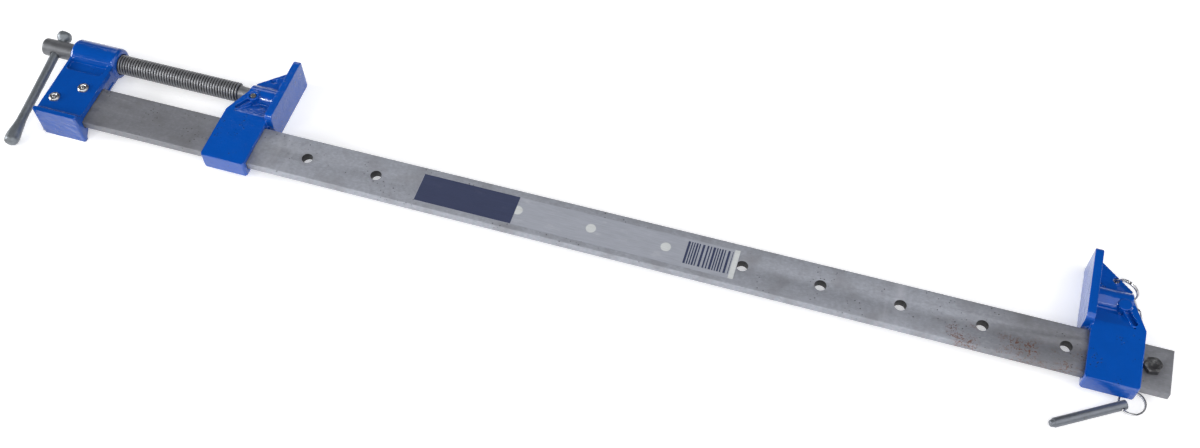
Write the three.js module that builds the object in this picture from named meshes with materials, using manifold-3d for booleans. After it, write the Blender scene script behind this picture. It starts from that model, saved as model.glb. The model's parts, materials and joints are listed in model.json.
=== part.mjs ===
// A sash clamp: a flat steel bar with a fixed head and its screw, a sliding jaw, and a tail shoe that a
// loose pin holds at any hole of the bar. Millimetres. +X runs along the bar from the screw to the tail, +Y
// towards the jaws, +Z up. Pieces are built about the middle of the bar's thickness and width, with x = 0 at
// the first pin hole. At the end the whole is moved so that its origin lies under the middle of its box, on
// the surface it rests on.
import * as THREE from "three";
import { mergeVertices } from "three/addons/utils/BufferGeometryUtils.js";
import Module from "manifold-3d";

const wasm = await Module();
wasm.setup();

// Gaps and counts that several pieces share.
const overrun = 3; // how far a cutting shape runs past the face that it cuts
const seatGap = 0.05; // between flat faces that are pressed together
const wireSnap = 0.005; // a link's wire corner this near its middle plane lies on it
const slideFit = 0.4; // around the bar in each casting
const runFit = 0.3; // between a round piece and its hole, and between hooked wires
const inch = 25.4;
const roundSides = 32;
const pinSides = 20;
const smallSides = 16;
const wireSides = 6;

// The bar. Its pin holes start at x = 0, and its tail reaches past the stop bolt's hole.
const bar = { start: -200, tail: 12, width: 31.75, thickness: 6.35, edge: 0.6 };
const pinHole = { pitch: 50.8, count: 11, radius: 3.85 };

// What the castings share. The widest parts of the castings are what the clamp rests on.
const castWall = 3.7; // above and below the bar
const restHalf = 13; // half the width of the jaw plates and of the head's foot
const screwRise = 26.4; // from the bar's far edge to the screw's axis

const head = {
  left: -201.5, right: -166.8, nearWall: 2, shoulder: 20,
  footLeft: -199.5, footRight: -165.4, footThick: 3.7, footFillet: 4.4,
  bossLeft: -202.4, bossRight: -165.6, bossRadius: 11.2, bossEdge: 2.6,
  pocketLeft: -198.7, pocketRight: -171, pocketLow: 8.6, pocketDeep: 2,
};
const rivet = {
  radius: 3.1, headRadius: 4.1, headHigh: 1.7, nearX: -193.5, nearY: -3.4, farX: -177.6, farY: 9.6,
};
const domeShares = [[0, 1], [0.5, 0.88], [0.88, 0.5]]; // of a rivet head's height, and of its radius there

// The jaw casting, which is the same on the sliding jaw and the tail shoe. A back is a distance behind the
// jaw face.
const jaw = {
  back: 37.2, front: 4.6, nearWall: 4.2, shoulder: 6.2, rim: 4.2, webHalf: 2.6,
  plateThick: 5.5, plateLow: 2.7, plateTop: 57, plateNose: 2.3, plateCorner: 2,
  bossBack: 27.7, bossRadius: 7.9, socketDeep: 17.7,
  pinBossBack: 22.8, pinBossRadius: 4.2, pinBossProud: 1.5,
  rampHigh: 9.4, rampEdge: 4.2, rampBack: 30, rampLean: 8,
  ribRise: 9.3, ribDrop: 2.4, holeBack: 17, holeRise: 15, holeRadius: 2, dimpleDeep: 0.8,
};
const slidingJawFace = -34; // x of its face with the screw run out as far as it goes

// The screw: a right-hand thread, twelve turns to the inch.
const thread = { turnsPerInch: 12, radius: 7.1, depth: 1.3, crest: 0.5, sides: 12, fit: 0.35 };
const screw = { headRadius: 6.3, headLong: 26.1, headRound: 1.4, shoulder: 0.8, neckLong: 9, coneLong: 2.6 };
const groove = { depth: 2, fit: 0.35 };
const retainingPin = { radius: 1.9, round: 0.4 };
const tommy = {
  radius: 3.2, holeFit: 0.6, lean: THREE.MathUtils.degToRad(3), holeBack: 15.9,
  knobRadius: 5.5, knobHigh: 8, knobRound: 2.6, reach: 83, swellRadius: 5.2, swellLong: 26, swellRound: 3,
};

// The stop bolt in the bar's last hole, and its nut.
const bolt = {
  radius: 3, hexAcross: 10, headHigh: 4, turn: THREE.MathUtils.degToRad(8), proud: 0.8, edge: 0.7,
};
const nutHigh = 4.6;

const label = { start: 82.3, end: 301.5, low: -11.65, high: 10.55, thick: 0.2, corner: 1.5, gap: 0.02 };

// The tether of the locking pin: a split ring in the shoe's rib, a chain, a second split ring and the pin.
const ring = { radius: 7.9, radial: 0.6, axial: 1, heading: THREE.MathUtils.degToRad(-26), sides: 32 };
const link = { bend: 2, wire: 0.55, half: 3.1, sides: 16, fit: 0.5 };
const linkHeadings = [-46, -72, -88, -94, -94, -90, -86, -86].map(THREE.MathUtils.degToRad);
const linkRolls = [-30, 45, -45, 45, -45, 45, -20, 75].map(THREE.MathUtils.degToRad);
const secondLinkShare = 0.18; // of the fall from the upper ring to the surface
const lockPin = {
  radius: 3.1, long: 49.5, endBack: 3.6, holeRadius: 1.75, heading: THREE.MathUtils.degToRad(212),
  tipLong: 2.6, tipRadius: 2.2, endEdge: 0.5,
};

// Places worked out from the sizes above.
const barHalf = bar.width / 2;
const barHigh = bar.thickness / 2;
const castHalf = barHigh + castWall;
const screwY = barHalf + screwRise;
const plateTopY = barHalf + jaw.plateTop;
const pitch = inch / thread.turnsPerInch;
const rootRadius = thread.radius - thread.depth;
const spigotRadius = rootRadius - screw.shoulder;
const retainingPinY = screwY - (spigotRadius - groove.depth + groove.fit + retainingPin.radius);
const rivetPlaces = [[rivet.nearX, rivet.nearY], [rivet.farX, rivet.farY]];
const boltX = pinHole.pitch * pinHole.count;
const barEnd = boltX + bar.tail;
const hexRadius = bolt.hexAcross / Math.sqrt(3);
const shoeFace = boltX - hexRadius * Math.cos(bolt.turn) - runFit - jaw.back;
const socketMouth = slidingJawFace - jaw.bossBack;
const screwHeadRight = head.bossLeft - runFit;
const tommyX = screwHeadRight - tommy.holeBack;
const tommyTilt = Math.asin((restHalf - tommy.swellRadius - runFit) / tommy.reach);
const floorZ = -restHalf;

const material = (color, roughness, metalness) =>
  new THREE.MeshStandardMaterial({ color, roughness, metalness });
const enamel = () => material(0x0a4bb0, 0.3, 0);
const millSteel = () => material(0x8c8e94, 0.55, 0.9);
const darkSteel = () => material(0x3a3b40, 0.5, 0.8);
const forgedSteel = () => material(0x7a7c80, 0.5, 0.85);
const brightSteel = () => material(0xb8bac0, 0.3, 1);
const printedFilm = () => material(0x2b2f55, 0.6, 0);

// A closed geometry as a solid: only places are kept, shared corners are merged and collapsed faces dropped.
function solidOf(geometry) {
  geometry.deleteAttribute("normal");
  geometry.deleteAttribute("uv");
  const merged = mergeVertices(geometry);
  const corners = merged.index.array;
  const kept = [];
  for (let i = 0; i < corners.length; i += 3) {
    const [a, b, c] = corners.slice(i, i + 3);
    if (a !== b && b !== c && c !== a) kept.push(a, b, c);
  }
  const vertProperties = new Float32Array(merged.attributes.position.array);
  return new wasm.Manifold(new wasm.Mesh({ numProp: 3, vertProperties, triVerts: new Uint32Array(kept) }));
}

// A named mesh of a solid, at the origin of the group that it is put in.
function piece(name, solid, look) {
  const { vertProperties, triVerts } = solid.getMesh();
  const geometry = new THREE.BufferGeometry();
  geometry.setAttribute("position", new THREE.BufferAttribute(vertProperties, 3));
  geometry.setIndex(new THREE.BufferAttribute(triVerts, 1));
  geometry.computeVertexNormals();
  const mesh = new THREE.Mesh(geometry, look);
  mesh.name = name;
  return mesh;
}

const joinAll = (solids) => solids.reduce((whole, each) => whole.add(each));
const cutAll = (solid, tools) => tools.reduce((left, tool) => left.subtract(tool), solid);

// A block between two corners.
function block(low, high) {
  const size = high.map((value, i) => value - low[i]);
  const middle = high.map((value, i) => (value + low[i]) / 2);
  return solidOf(new THREE.BoxGeometry(...size).translate(...middle));
}

const shapeOf = (outline) => new THREE.Shape(outline.map((p) => new THREE.Vector2(...p)));

// An outline in x and y, given a thickness that is centred on z = 0.
function plateOf(outline, half) {
  const shape = outline instanceof THREE.Shape ? outline : shapeOf(outline);
  const settings = { depth: half * 2, bevelEnabled: false, curveSegments: smallSides / 2 };
  return solidOf(new THREE.ExtrudeGeometry(shape, settings).translate(0, 0, -half));
}

// An outline in y and z, swept along x.
function beamOf(outline, from, to) {
  const swept = new THREE.ExtrudeGeometry(shapeOf(outline), { depth: to - from, bevelEnabled: false });
  const turn = new THREE.Matrix4().makeBasis(axisY, axisZ, axisX);
  return solidOf(swept.applyMatrix4(turn).translate(from, 0, 0));
}

const axisX = new THREE.Vector3(1, 0, 0);
const axisY = new THREE.Vector3(0, 1, 0);
const axisZ = new THREE.Vector3(0, 0, 1);

// A round profile of [along, radius] pairs about x, and the same about z.
function turnedX(profile, sides = roundSides) {
  const points = profile.map(([along, radius]) => new THREE.Vector2(radius, along));
  return solidOf(new THREE.LatheGeometry(points, sides).rotateZ(-Math.PI / 2));
}

function turnedZ(profile, sides = roundSides) {
  const points = profile.map(([along, radius]) => new THREE.Vector2(radius, along));
  return solidOf(new THREE.LatheGeometry(points, sides).rotateX(Math.PI / 2));
}

const rodProfile = (radius, from, to) => [[from, 0], [from, radius], [to, radius], [to, 0]];
const rodX = (radius, from, to, sides) => turnedX(rodProfile(radius, from, to), sides);
const rodZ = (radius, half, sides) => turnedZ(rodProfile(radius, -half, half), sides);

// The quarter round at the end `at` of a turned profile of radius `high`, which lies on the side `way` of it.
function roundEdge(at, high, round, way) {
  const steps = [0, 1, 2, 3].map((i) => (i / 3) * (Math.PI / 2));
  const arc = steps.map((a) => [at + way * round * (1 - Math.sin(a)), high - round * (1 - Math.cos(a))]);
  return way > 0 ? arc.reverse() : arc;
}

// A helical ridge on a round core, longer than the stretch that it is cut to. Radii grow by `grow`.
function threadStock(from, to, grow) {
  const facet = grow > 0 ? 1 / Math.cos(Math.PI / thread.sides) : 1;
  const root = (rootRadius + grow) * facet;
  const crest = (thread.radius + grow) * facet;
  const flat = thread.crest / 2;
  const first = Math.floor(from / pitch) - 1;
  const turns = Math.ceil((to - from) / pitch) + 3;
  const columns = turns * thread.sides;
  const places = [];
  const point = (i, along, radius) => {
    const angle = (i / thread.sides) * Math.PI * 2;
    const x = (first + i / thread.sides) * pitch + along;
    places.push(x, radius * Math.cos(angle), radius * Math.sin(angle));
  };
  const [rising, falling] = [pitch / 2 - flat, pitch / 2 + flat];
  for (let i = 0; i <= columns; i++) {
    point(i, 0, root);
    point(i, rising, crest);
    point(i, falling, crest);
  }
  for (let i = columns + 1; i <= columns + thread.sides; i++) point(i, 0, root);
  const rootAt = (i) => (i <= columns ? i * 3 : columns * 3 + 2 + (i - columns));
  const faces = [];
  const quad = (a, b, c, d) => faces.push(a, b, c, a, c, d);
  for (let i = 0; i < columns; i++) {
    quad(rootAt(i), rootAt(i + 1), (i + 1) * 3 + 1, i * 3 + 1);
    quad(i * 3 + 1, (i + 1) * 3 + 1, (i + 1) * 3 + 2, i * 3 + 2);
    quad(i * 3 + 2, (i + 1) * 3 + 2, rootAt(i + 1 + thread.sides), rootAt(i + thread.sides));
  }
  closeThreadEnd(places, faces, 0, rootAt, first, false);
  closeThreadEnd(places, faces, columns, rootAt, first, true);
  const geometry = new THREE.BufferGeometry();
  geometry.setAttribute("position", new THREE.Float32BufferAttribute(places, 3));
  geometry.setIndex(faces);
  return solidOf(geometry);
}

// Closes one end of the thread with a fan from its axis: round one turn of the root and back along the ridge.
function closeThreadEnd(places, faces, column, rootAt, first, last) {
  const hub = places.length / 3;
  places.push((first + column / thread.sides + 1 / 2) * pitch, 0, 0);
  const rim = [];
  for (let i = 0; i <= thread.sides; i++) rim.push(rootAt(column + i));
  rim.push(column * 3 + 2, column * 3 + 1);
  rim.forEach((corner, i) => {
    const next = rim[(i + 1) % rim.length];
    faces.push(...(last ? [hub, corner, next] : [hub, next, corner]));
  });
}

function barPiece() {
  const [y, z] = [barHalf, barHigh];
  const section = [
    [-y, -z + bar.edge], [-y + bar.edge, -z], [y - bar.edge, -z], [y, -z + bar.edge],
    [y, z - bar.edge], [y - bar.edge, z], [-y + bar.edge, z], [-y, z - bar.edge],
  ];
  const drill = (x, dy, radius) => rodZ(radius, barHigh + overrun, pinSides).translate([x, dy, 0]);
  const holes = Array.from({ length: pinHole.count }, (_, i) => drill(i * pinHole.pitch, 0, pinHole.radius));
  holes.push(drill(boltX, 0, bolt.radius + runFit));
  rivetPlaces.forEach(([x, dy]) => holes.push(drill(x, dy, rivet.radius + runFit)));
  return piece("bar", cutAll(beamOf(section, bar.start, barEnd), holes), millSteel());
}

// The slot that the bar passes through, in any casting.
function barSlot(from, to) {
  const [y, z] = [barHalf + slideFit, barHigh + slideFit];
  return block([from - overrun, -y, -z], [to + overrun, y, z]);
}

// The shallow pocket with round ends between the head's flat and its boss, on the upper or the lower side.
function headPocket(side) {
  const low = barHalf + head.pocketLow;
  const high = barHalf + head.shoulder;
  const middle = (low + high) / 2;
  const radius = (high - low) / 2;
  const outline = new THREE.Shape();
  outline.absarc(head.pocketRight - radius, middle, radius, -Math.PI / 2, Math.PI / 2);
  outline.absarc(head.pocketLeft + radius, middle, radius, Math.PI / 2, (Math.PI * 3) / 2);
  const deep = (head.pocketDeep + overrun) / 2;
  return plateOf(outline, deep).translate([0, 0, side * (castHalf - head.pocketDeep + deep)]);
}

function headCasting() {
  const footOuter = barHalf + head.nearWall + head.footThick;
  const footInner = barHalf + head.nearWall;
  const flat = block([head.left, -footInner, -castHalf], [head.right, barHalf + head.shoulder, castHalf]);
  const foot = block([head.footLeft, -footOuter, -restHalf], [head.footRight, -footInner, restHalf]);
  const flare = castHalf + head.footFillet;
  const blend = [
    [-footInner - seatGap, -flare], [-footInner + head.footFillet, -castHalf + seatGap],
    [-footInner + head.footFillet, castHalf - seatGap], [-footInner - seatGap, flare],
  ];
  const boss = turnedX([
    [head.bossLeft, 0],
    ...roundEdge(head.bossLeft, head.bossRadius, head.bossEdge, 1),
    ...roundEdge(head.bossRight, head.bossRadius, head.bossEdge, -1),
    [head.bossRight, 0],
  ]).translate([0, screwY, 0]);
  const body = cutAll(flat, [headPocket(1), headPocket(-1)]);
  const casting = joinAll([body, foot, beamOf(blend, head.footLeft, head.footRight), boss]);
  const nut = threadStock(head.bossLeft, head.bossRight, thread.fit).translate([0, screwY, 0]);
  const drill = ([x, y]) => rodZ(rivet.radius + runFit, castHalf + overrun, smallSides).translate([x, y, 0]);
  const tools = [barSlot(head.bossLeft, head.bossRight), nut, ...rivetPlaces.map(drill)];
  return piece("head_casting", cutAll(casting, tools), enamel());
}

// A rivet through the head and the bar, with a domed head at each end.
function rivetPiece(name, [x, y]) {
  const seat = castHalf + seatGap;
  const dome = domeShares.map(([high, wide]) => [seat + rivet.headHigh * high, rivet.headRadius * wide]);
  const upper = [[seat, rivet.radius], ...dome, [seat + rivet.headHigh, 0]];
  const lower = upper.map(([along, radius]) => [-along, radius]).reverse();
  const made = piece(name, turnedZ([...lower, ...upper], smallSides), brightSteel());
  made.position.set(x, y, 0);
  return made;
}

// The jaw plate's outline seen along z, with a rounded far end, cut to its outline seen along x.
function jawPlate() {
  const low = barHalf + jaw.plateLow;
  const profile = new THREE.Shape();
  const half = jaw.plateThick / 2;
  profile.moveTo(0, low);
  profile.lineTo(0, plateTopY - jaw.plateNose);
  profile.absellipse(-half, plateTopY - jaw.plateNose, half, jaw.plateNose, 0, Math.PI);
  profile.lineTo(-jaw.plateThick, low);
  const [c, w] = [jaw.plateCorner, restHalf];
  const face = [
    [low, -w + c], [low + c, -w], [plateTopY - c, -w], [plateTopY, -w + c],
    [plateTopY, w - c], [plateTopY - c, w], [low + c, w], [low, w - c],
  ];
  return plateOf(profile, restHalf).intersect(beamOf(face, -jaw.plateThick - overrun, overrun));
}

// The slope from the jaw body's flat down towards the boss, ending short of the rim along a leaning line.
function jawRamp(shoulder) {
  const high = shoulder + jaw.rampHigh;
  const slope = [[shoulder, -castHalf], [high, -jaw.rampEdge], [high, jaw.rampEdge], [shoulder, castHalf]];
  const inner = -jaw.plateThick / 2;
  const leanTop = -jaw.rampBack + jaw.rampLean;
  const lean = [[-jaw.rampBack, shoulder], [inner, shoulder], [inner, high], [leanTop, high]];
  return beamOf(slope, -jaw.back, inner).intersect(plateOf(lean, castHalf));
}

// The casting that both jaws share. The face lies at x = 0 and looks along +x.
function jawCasting() {
  const shoulder = barHalf + jaw.shoulder;
  const inner = -jaw.plateThick / 2;
  const low = shoulder - jaw.rim;
  const body = block([-jaw.back, -barHalf - jaw.nearWall, -castHalf], [-jaw.front, shoulder, castHalf]);
  const rim = [
    [-jaw.back, low], [-jaw.back + jaw.rim, low], [-jaw.bossBack + jaw.rim, screwY - jaw.rim],
    [-jaw.bossBack, screwY], [-jaw.back, shoulder],
  ];
  const web = [
    [-jaw.back, low], [inner, low], [inner, plateTopY - jaw.ribDrop],
    [-jaw.plateThick, plateTopY - jaw.ribDrop], [-jaw.bossBack, screwY + jaw.ribRise],
    [-jaw.bossBack, screwY], [-jaw.back, shoulder],
  ];
  const boss = rodX(jaw.bossRadius, -jaw.bossBack, inner).translate([0, screwY, 0]);
  const pinBoss = rodZ(jaw.pinBossRadius, castHalf + jaw.pinBossProud, pinSides);
  return joinAll([
    body, plateOf(rim, castHalf), plateOf(web, jaw.webHalf), jawRamp(shoulder), jawPlate(), boss,
    pinBoss.translate([-jaw.pinBossBack, retainingPinY, 0]),
  ]).subtract(barSlot(-jaw.back, 0));
}

// The sliding jaw is the casting bored for the screw's tip and for the pin that keeps it in.
function slidingJawPiece() {
  const mouth = -jaw.bossBack;
  const socket = rodX(spigotRadius + runFit, mouth - overrun, mouth + jaw.socketDeep);
  const pinBore = rodZ(retainingPin.radius + runFit / 2, castHalf + jaw.pinBossProud + overrun, smallSides);
  const dimple = rodZ(jaw.holeRadius, overrun, smallSides);
  return piece("sliding_jaw", cutAll(jawCasting(), [
    socket.translate([0, screwY, 0]),
    pinBore.translate([-jaw.pinBossBack, retainingPinY, 0]),
    dimple.translate([-jaw.holeBack, screwY + jaw.holeRise, jaw.webHalf - jaw.dimpleDeep + overrun]),
  ]), enamel());
}

// The tail shoe is the same casting, left unbored but for the hole that its ring hangs in.
function tailShoePiece() {
  const hole = rodZ(jaw.holeRadius, jaw.webHalf + overrun, smallSides);
  return piece("tail_shoe", jawCasting().subtract(
    hole.translate([-jaw.holeBack, screwY + jaw.holeRise, 0]),
  ), enamel());
}

// The pin that lies in the groove of the screw's tip and keeps the screw in the sliding jaw.
function retainingPinPiece() {
  const half = castHalf + jaw.pinBossProud;
  const { radius, round } = retainingPin;
  const made = piece("retaining_pin", turnedZ([
    [-half, 0], [-half, radius - round], [-half + round, radius],
    [half - round, radius], [half, radius - round], [half, 0],
  ], smallSides), brightSteel());
  made.position.set(slidingJawFace - jaw.pinBossBack, retainingPinY, 0);
  return made;
}

// The screw: cross-drilled head, thread, and a grooved tip that sits in the sliding jaw's socket.
function screwPiece() {
  const headLeft = screwHeadRight - screw.headLong;
  const threadEnd = socketMouth - screw.neckLong;
  const inner = rootRadius * Math.cos(Math.PI / thread.sides) - seatGap;
  const tip = socketMouth + jaw.socketDeep - runFit;
  const grooveX = slidingJawFace - jaw.pinBossBack;
  const grooveHalf = retainingPin.radius + groove.fit;
  const grooveRadius = spigotRadius - groove.depth;
  const outside = thread.radius + seatGap;
  const envelope = turnedX([
    [screwHeadRight, 0], [screwHeadRight, rootRadius], [screwHeadRight + thread.depth, outside],
    [threadEnd - thread.depth, outside], [threadEnd, rootRadius], [threadEnd, 0],
  ]);
  const core = turnedX([
    [headLeft, 0],
    ...roundEdge(headLeft, screw.headRadius, screw.headRound, 1),
    [screwHeadRight, screw.headRadius], [screwHeadRight, inner],
    [threadEnd, inner], [threadEnd + screw.coneLong, spigotRadius],
    [grooveX - grooveHalf, spigotRadius], [grooveX - grooveHalf, grooveRadius],
    [grooveX + grooveHalf, grooveRadius], [grooveX + grooveHalf, spigotRadius],
    [tip - thread.depth, spigotRadius], [tip, spigotRadius - thread.depth], [tip, 0],
  ]);
  const threaded = threadStock(screwHeadRight, threadEnd, 0).intersect(envelope);
  const cross = rodZ(tommy.radius + tommy.holeFit, screw.headRadius + overrun, smallSides);
  const hole = cross.rotate([THREE.MathUtils.radToDeg(tommyTilt) - 90, 0, 0]).translate([tommyX, 0, 0]);
  return piece("screw", core.add(threaded).subtract(hole), forgedSteel());
}

// The tommy bar, with its axis along z: a small knob at the top, which rests on the screw's head, and a
// swell below. It leans a little in its loose hole.
function tommyBarPiece() {
  const under = screw.headRadius + runFit;
  const top = under + tommy.knobHigh;
  const bottom = -tommy.reach - tommy.swellRound;
  const swellTop = -tommy.reach + tommy.swellLong;
  return piece("tommy_bar", turnedZ([
    [bottom, 0],
    ...roundEdge(bottom, tommy.swellRadius, tommy.swellRound, 1),
    [swellTop, tommy.radius], [under, tommy.radius], [under + tommy.knobRound, tommy.knobRadius],
    ...roundEdge(top, tommy.knobRadius, tommy.knobRound, -1),
    [top, 0],
  ], smallSides), forgedSteel());
}

// A six-sided head or nut about z, between two heights.
function hexBlock(low, high) {
  const outline = Array.from({ length: 6 }, (_, i) => {
    const angle = bolt.turn + (i * Math.PI) / 3;
    return [hexRadius * Math.cos(angle), hexRadius * Math.sin(angle)];
  });
  return plateOf(outline, (high - low) / 2).translate([0, 0, (high + low) / 2]);
}

// The round cone that takes the corners off the outer face of a head or nut; `way` is 1 up and -1 down.
function hexChamfer(inner, outer, way) {
  const profile = [
    [inner - way * overrun, 0], [inner - way * overrun, hexRadius + overrun],
    [outer - way * bolt.edge, hexRadius], [outer, bolt.hexAcross / 2 - seatGap], [outer, 0],
  ];
  return turnedZ(way > 0 ? profile : profile.reverse(), roundSides);
}

function stopBoltPiece() {
  const [under, top] = [barHigh + seatGap, barHigh + seatGap + bolt.headHigh];
  const bottom = barHigh + seatGap + nutHigh + bolt.proud;
  const shank = turnedZ([
    [-bottom, 0], [-bottom, bolt.radius - bolt.edge], [-bottom + bolt.edge, bolt.radius],
    [under + seatGap, bolt.radius], [under + seatGap, 0],
  ], smallSides);
  const cap = hexBlock(under, top).intersect(hexChamfer(under, top, 1));
  const made = piece("stop_bolt", shank.add(cap), darkSteel());
  made.position.set(boltX, 0, 0);
  return made;
}

function stopNutPiece() {
  const [top, bottom] = [-barHigh - seatGap, -barHigh - seatGap - nutHigh];
  const nut = hexBlock(bottom, top).intersect(hexChamfer(top, bottom, -1));
  const bore = rodZ(bolt.radius + runFit / 2, barHigh + nutHigh + overrun, smallSides);
  const made = piece("stop_nut", nut.subtract(bore), darkSteel());
  made.position.set(boltX, 0, 0);
  return made;
}

// The printed film on the bar's upper face, with rounded corners.
function labelPiece() {
  const [x0, x1, y0, y1, c] = [label.start, label.end, label.low, label.high, label.corner];
  const outline = new THREE.Shape();
  outline.absarc(x0 + c, y0 + c, c, Math.PI, (Math.PI * 3) / 2);
  outline.absarc(x1 - c, y0 + c, c, (Math.PI * 3) / 2, Math.PI * 2);
  outline.absarc(x1 - c, y1 - c, c, 0, Math.PI / 2);
  outline.absarc(x0 + c, y1 - c, c, Math.PI / 2, Math.PI);
  const made = piece("label", plateOf(outline, label.thick / 2), printedFilm());
  made.position.set(0, 0, barHigh + label.gap + label.thick / 2);
  return made;
}

// A ring of flat wire about z.
function ringSolid() {
  const wire = new THREE.TorusGeometry(ring.radius, ring.radial, wireSides + 2, ring.sides);
  return solidOf(wire.scale(1, 1, ring.axial / ring.radial));
}

// One oval link, long in x and flat in z: a ring of wire whose two halves are drawn apart.
function linkSolid() {
  const wire = new THREE.TorusGeometry(link.bend, link.wire, wireSides, link.sides);
  const corners = wire.attributes.position;
  for (let i = 0; i < corners.count; i++) {
    const x = corners.getX(i);
    corners.setX(i, x + (Math.abs(x) > wireSnap ? Math.sign(x) * link.half : 0));
  }
  return solidOf(wire);
}

// Puts a mesh at a place, with its own x along `along` and its own z as near `up` as that allows.
function put(mesh, at, along, up) {
  const x = along.clone().normalize();
  const y = new THREE.Vector3().crossVectors(up, x).normalize();
  const z = new THREE.Vector3().crossVectors(x, y);
  mesh.quaternion.setFromRotationMatrix(new THREE.Matrix4().makeBasis(x, y, z));
  mesh.position.copy(at);
  return mesh;
}

// The direction with a heading about z, counted from x, and a slope up from level.
function level(heading, slope = 0) {
  const flat = Math.cos(slope);
  return new THREE.Vector3(Math.cos(heading) * flat, Math.sin(heading) * flat, Math.sin(slope));
}

const step = (from, along, distance) => from.clone().addScaledVector(along, distance);

// How far a ring's wire leaves a straight hole of the given half length, halved as it bows both ways alike.
const bow = (half) => (ring.radius - Math.sqrt(ring.radius ** 2 - half ** 2)) / 2;

// The tether, from the ring in the shoe's rib, along the chain on the surface, to the second ring and pin.
function tether() {
  const group = new THREE.Group();
  const inside = link.half + link.bend - link.wire - link.fit / 2; // from a hook to the middle of a link
  const reach = ring.radius - ring.radial - link.fit / 2; // from a hook to the middle of a ring
  const liftOf = (roll) => link.bend * Math.abs(Math.sin(roll)) + link.wire + seatGap;
  const lift = liftOf(linkRolls[1]);
  const fall = -floorZ - lift;
  const drops = linkHeadings.map(() => 0);
  drops[0] = -Math.asin((fall * (1 - secondLinkShare)) / (reach + inside * 2));
  drops[1] = -Math.asin((fall * secondLinkShare) / (inside * 2));
  const lastLift = liftOf(linkRolls.at(-1));
  drops[drops.length - 2] = Math.asin((lastLift - lift) / (inside * 2));
  drops[drops.length - 1] = Math.asin((lockPin.radius + seatGap - lastLift) / (inside * 2));
  const ways = linkHeadings.map((heading, i) => level(heading, drops[i]));
  const ringSide = level(ring.heading + Math.PI / 2);
  const hole = new THREE.Vector3(shoeFace + jaw.holeBack, screwY + jaw.holeRise, 0);
  const upperMiddle = step(hole, level(ring.heading), ring.radius - bow(jaw.webHalf));
  group.add(put(piece("shoe_ring", ringSolid(), brightSteel()), upperMiddle, level(ring.heading), ringSide));

  let hook = step(upperMiddle, level(ring.heading, drops[0]), reach);
  ways.forEach((way, i) => {
    const upright = new THREE.Vector3().crossVectors(level(linkHeadings[i] + Math.PI / 2), way).negate();
    const mesh = piece(`chain_link_${i + 1}`, linkSolid(), brightSteel());
    group.add(put(mesh, step(hook, way, inside), way, upright.applyAxisAngle(way, linkRolls[i])));
    hook = step(hook, way, inside * 2);
  });

  const lowerMiddle = step(hook, level(linkHeadings.at(-1)), reach);
  group.add(put(piece("pin_ring", ringSolid(), brightSteel()), lowerMiddle, axisX, axisZ));
  const pinWay = level(lockPin.heading);
  const pinAt = step(lowerMiddle, pinWay, ring.radius - bow(lockPin.radius));
  group.add(put(lockingPinPiece(), pinAt, pinWay, axisZ));
  return group;
}

// The locking pin along x, with its cross hole at the origin and its tip towards +x.
function lockingPinPiece() {
  const { radius, long, endBack, tipLong, tipRadius, endEdge } = lockPin;
  const tip = long - endBack;
  const body = turnedX([
    [-endBack, 0], [-endBack, radius - endEdge], [-endBack + endEdge, radius],
    [tip - tipLong, radius], [tip, tipRadius], [tip, 0],
  ], pinSides);
  const hole = rodZ(lockPin.holeRadius, radius + overrun, smallSides).rotate([90, 0, 0]);
  return piece("locking_pin", body.subtract(hole), brightSteel());
}

function screwGroup() {
  const group = new THREE.Group();
  group.position.y = screwY;
  group.add(screwPiece());
  const handle = tommyBarPiece();
  handle.position.x = tommyX;
  handle.rotation.set(tommyTilt - Math.PI / 2, -tommy.lean, 0);
  group.add(handle);
  return group;
}

function jawGroup(mesh, face, turned) {
  const group = new THREE.Group();
  group.position.x = face;
  group.rotation.y = turned ? Math.PI : 0;
  group.add(mesh);
  return group;
}

function sashClamp() {
  const clamp = new THREE.Group();
  clamp.add(barPiece(), headCasting());
  clamp.add(rivetPiece("rivet_near", rivetPlaces[0]), rivetPiece("rivet_far", rivetPlaces[1]));
  clamp.add(screwGroup(), jawGroup(slidingJawPiece(), slidingJawFace, false), retainingPinPiece());
  clamp.add(jawGroup(tailShoePiece(), shoeFace, true), stopBoltPiece(), stopNutPiece());
  clamp.add(labelPiece(), tether());
  const box = new THREE.Box3().setFromObject(clamp, true);
  const middle = box.getCenter(new THREE.Vector3());
  clamp.position.set(-middle.x, -middle.y, -box.min.z);
  const model = new THREE.Group();
  model.add(clamp);
  return model;
}

export default sashClamp();
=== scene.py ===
"""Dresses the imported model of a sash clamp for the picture: castings, screw, bar, film, rings, chain and studio.

Everything is in metres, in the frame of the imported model: +X along the bar from the screw to the tail, +Y from the
bar towards the jaws, +Z up, with z = 0 on the table. Each piece is built in place, replaces its node and rides on
that node's body.
"""

import json
import logging
import math
from dataclasses import dataclass
from enum import Enum
from typing import Callable, Iterable, Sequence

import bmesh
import bpy
import numpy as np
from mathutils import Matrix, Vector, noise


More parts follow.
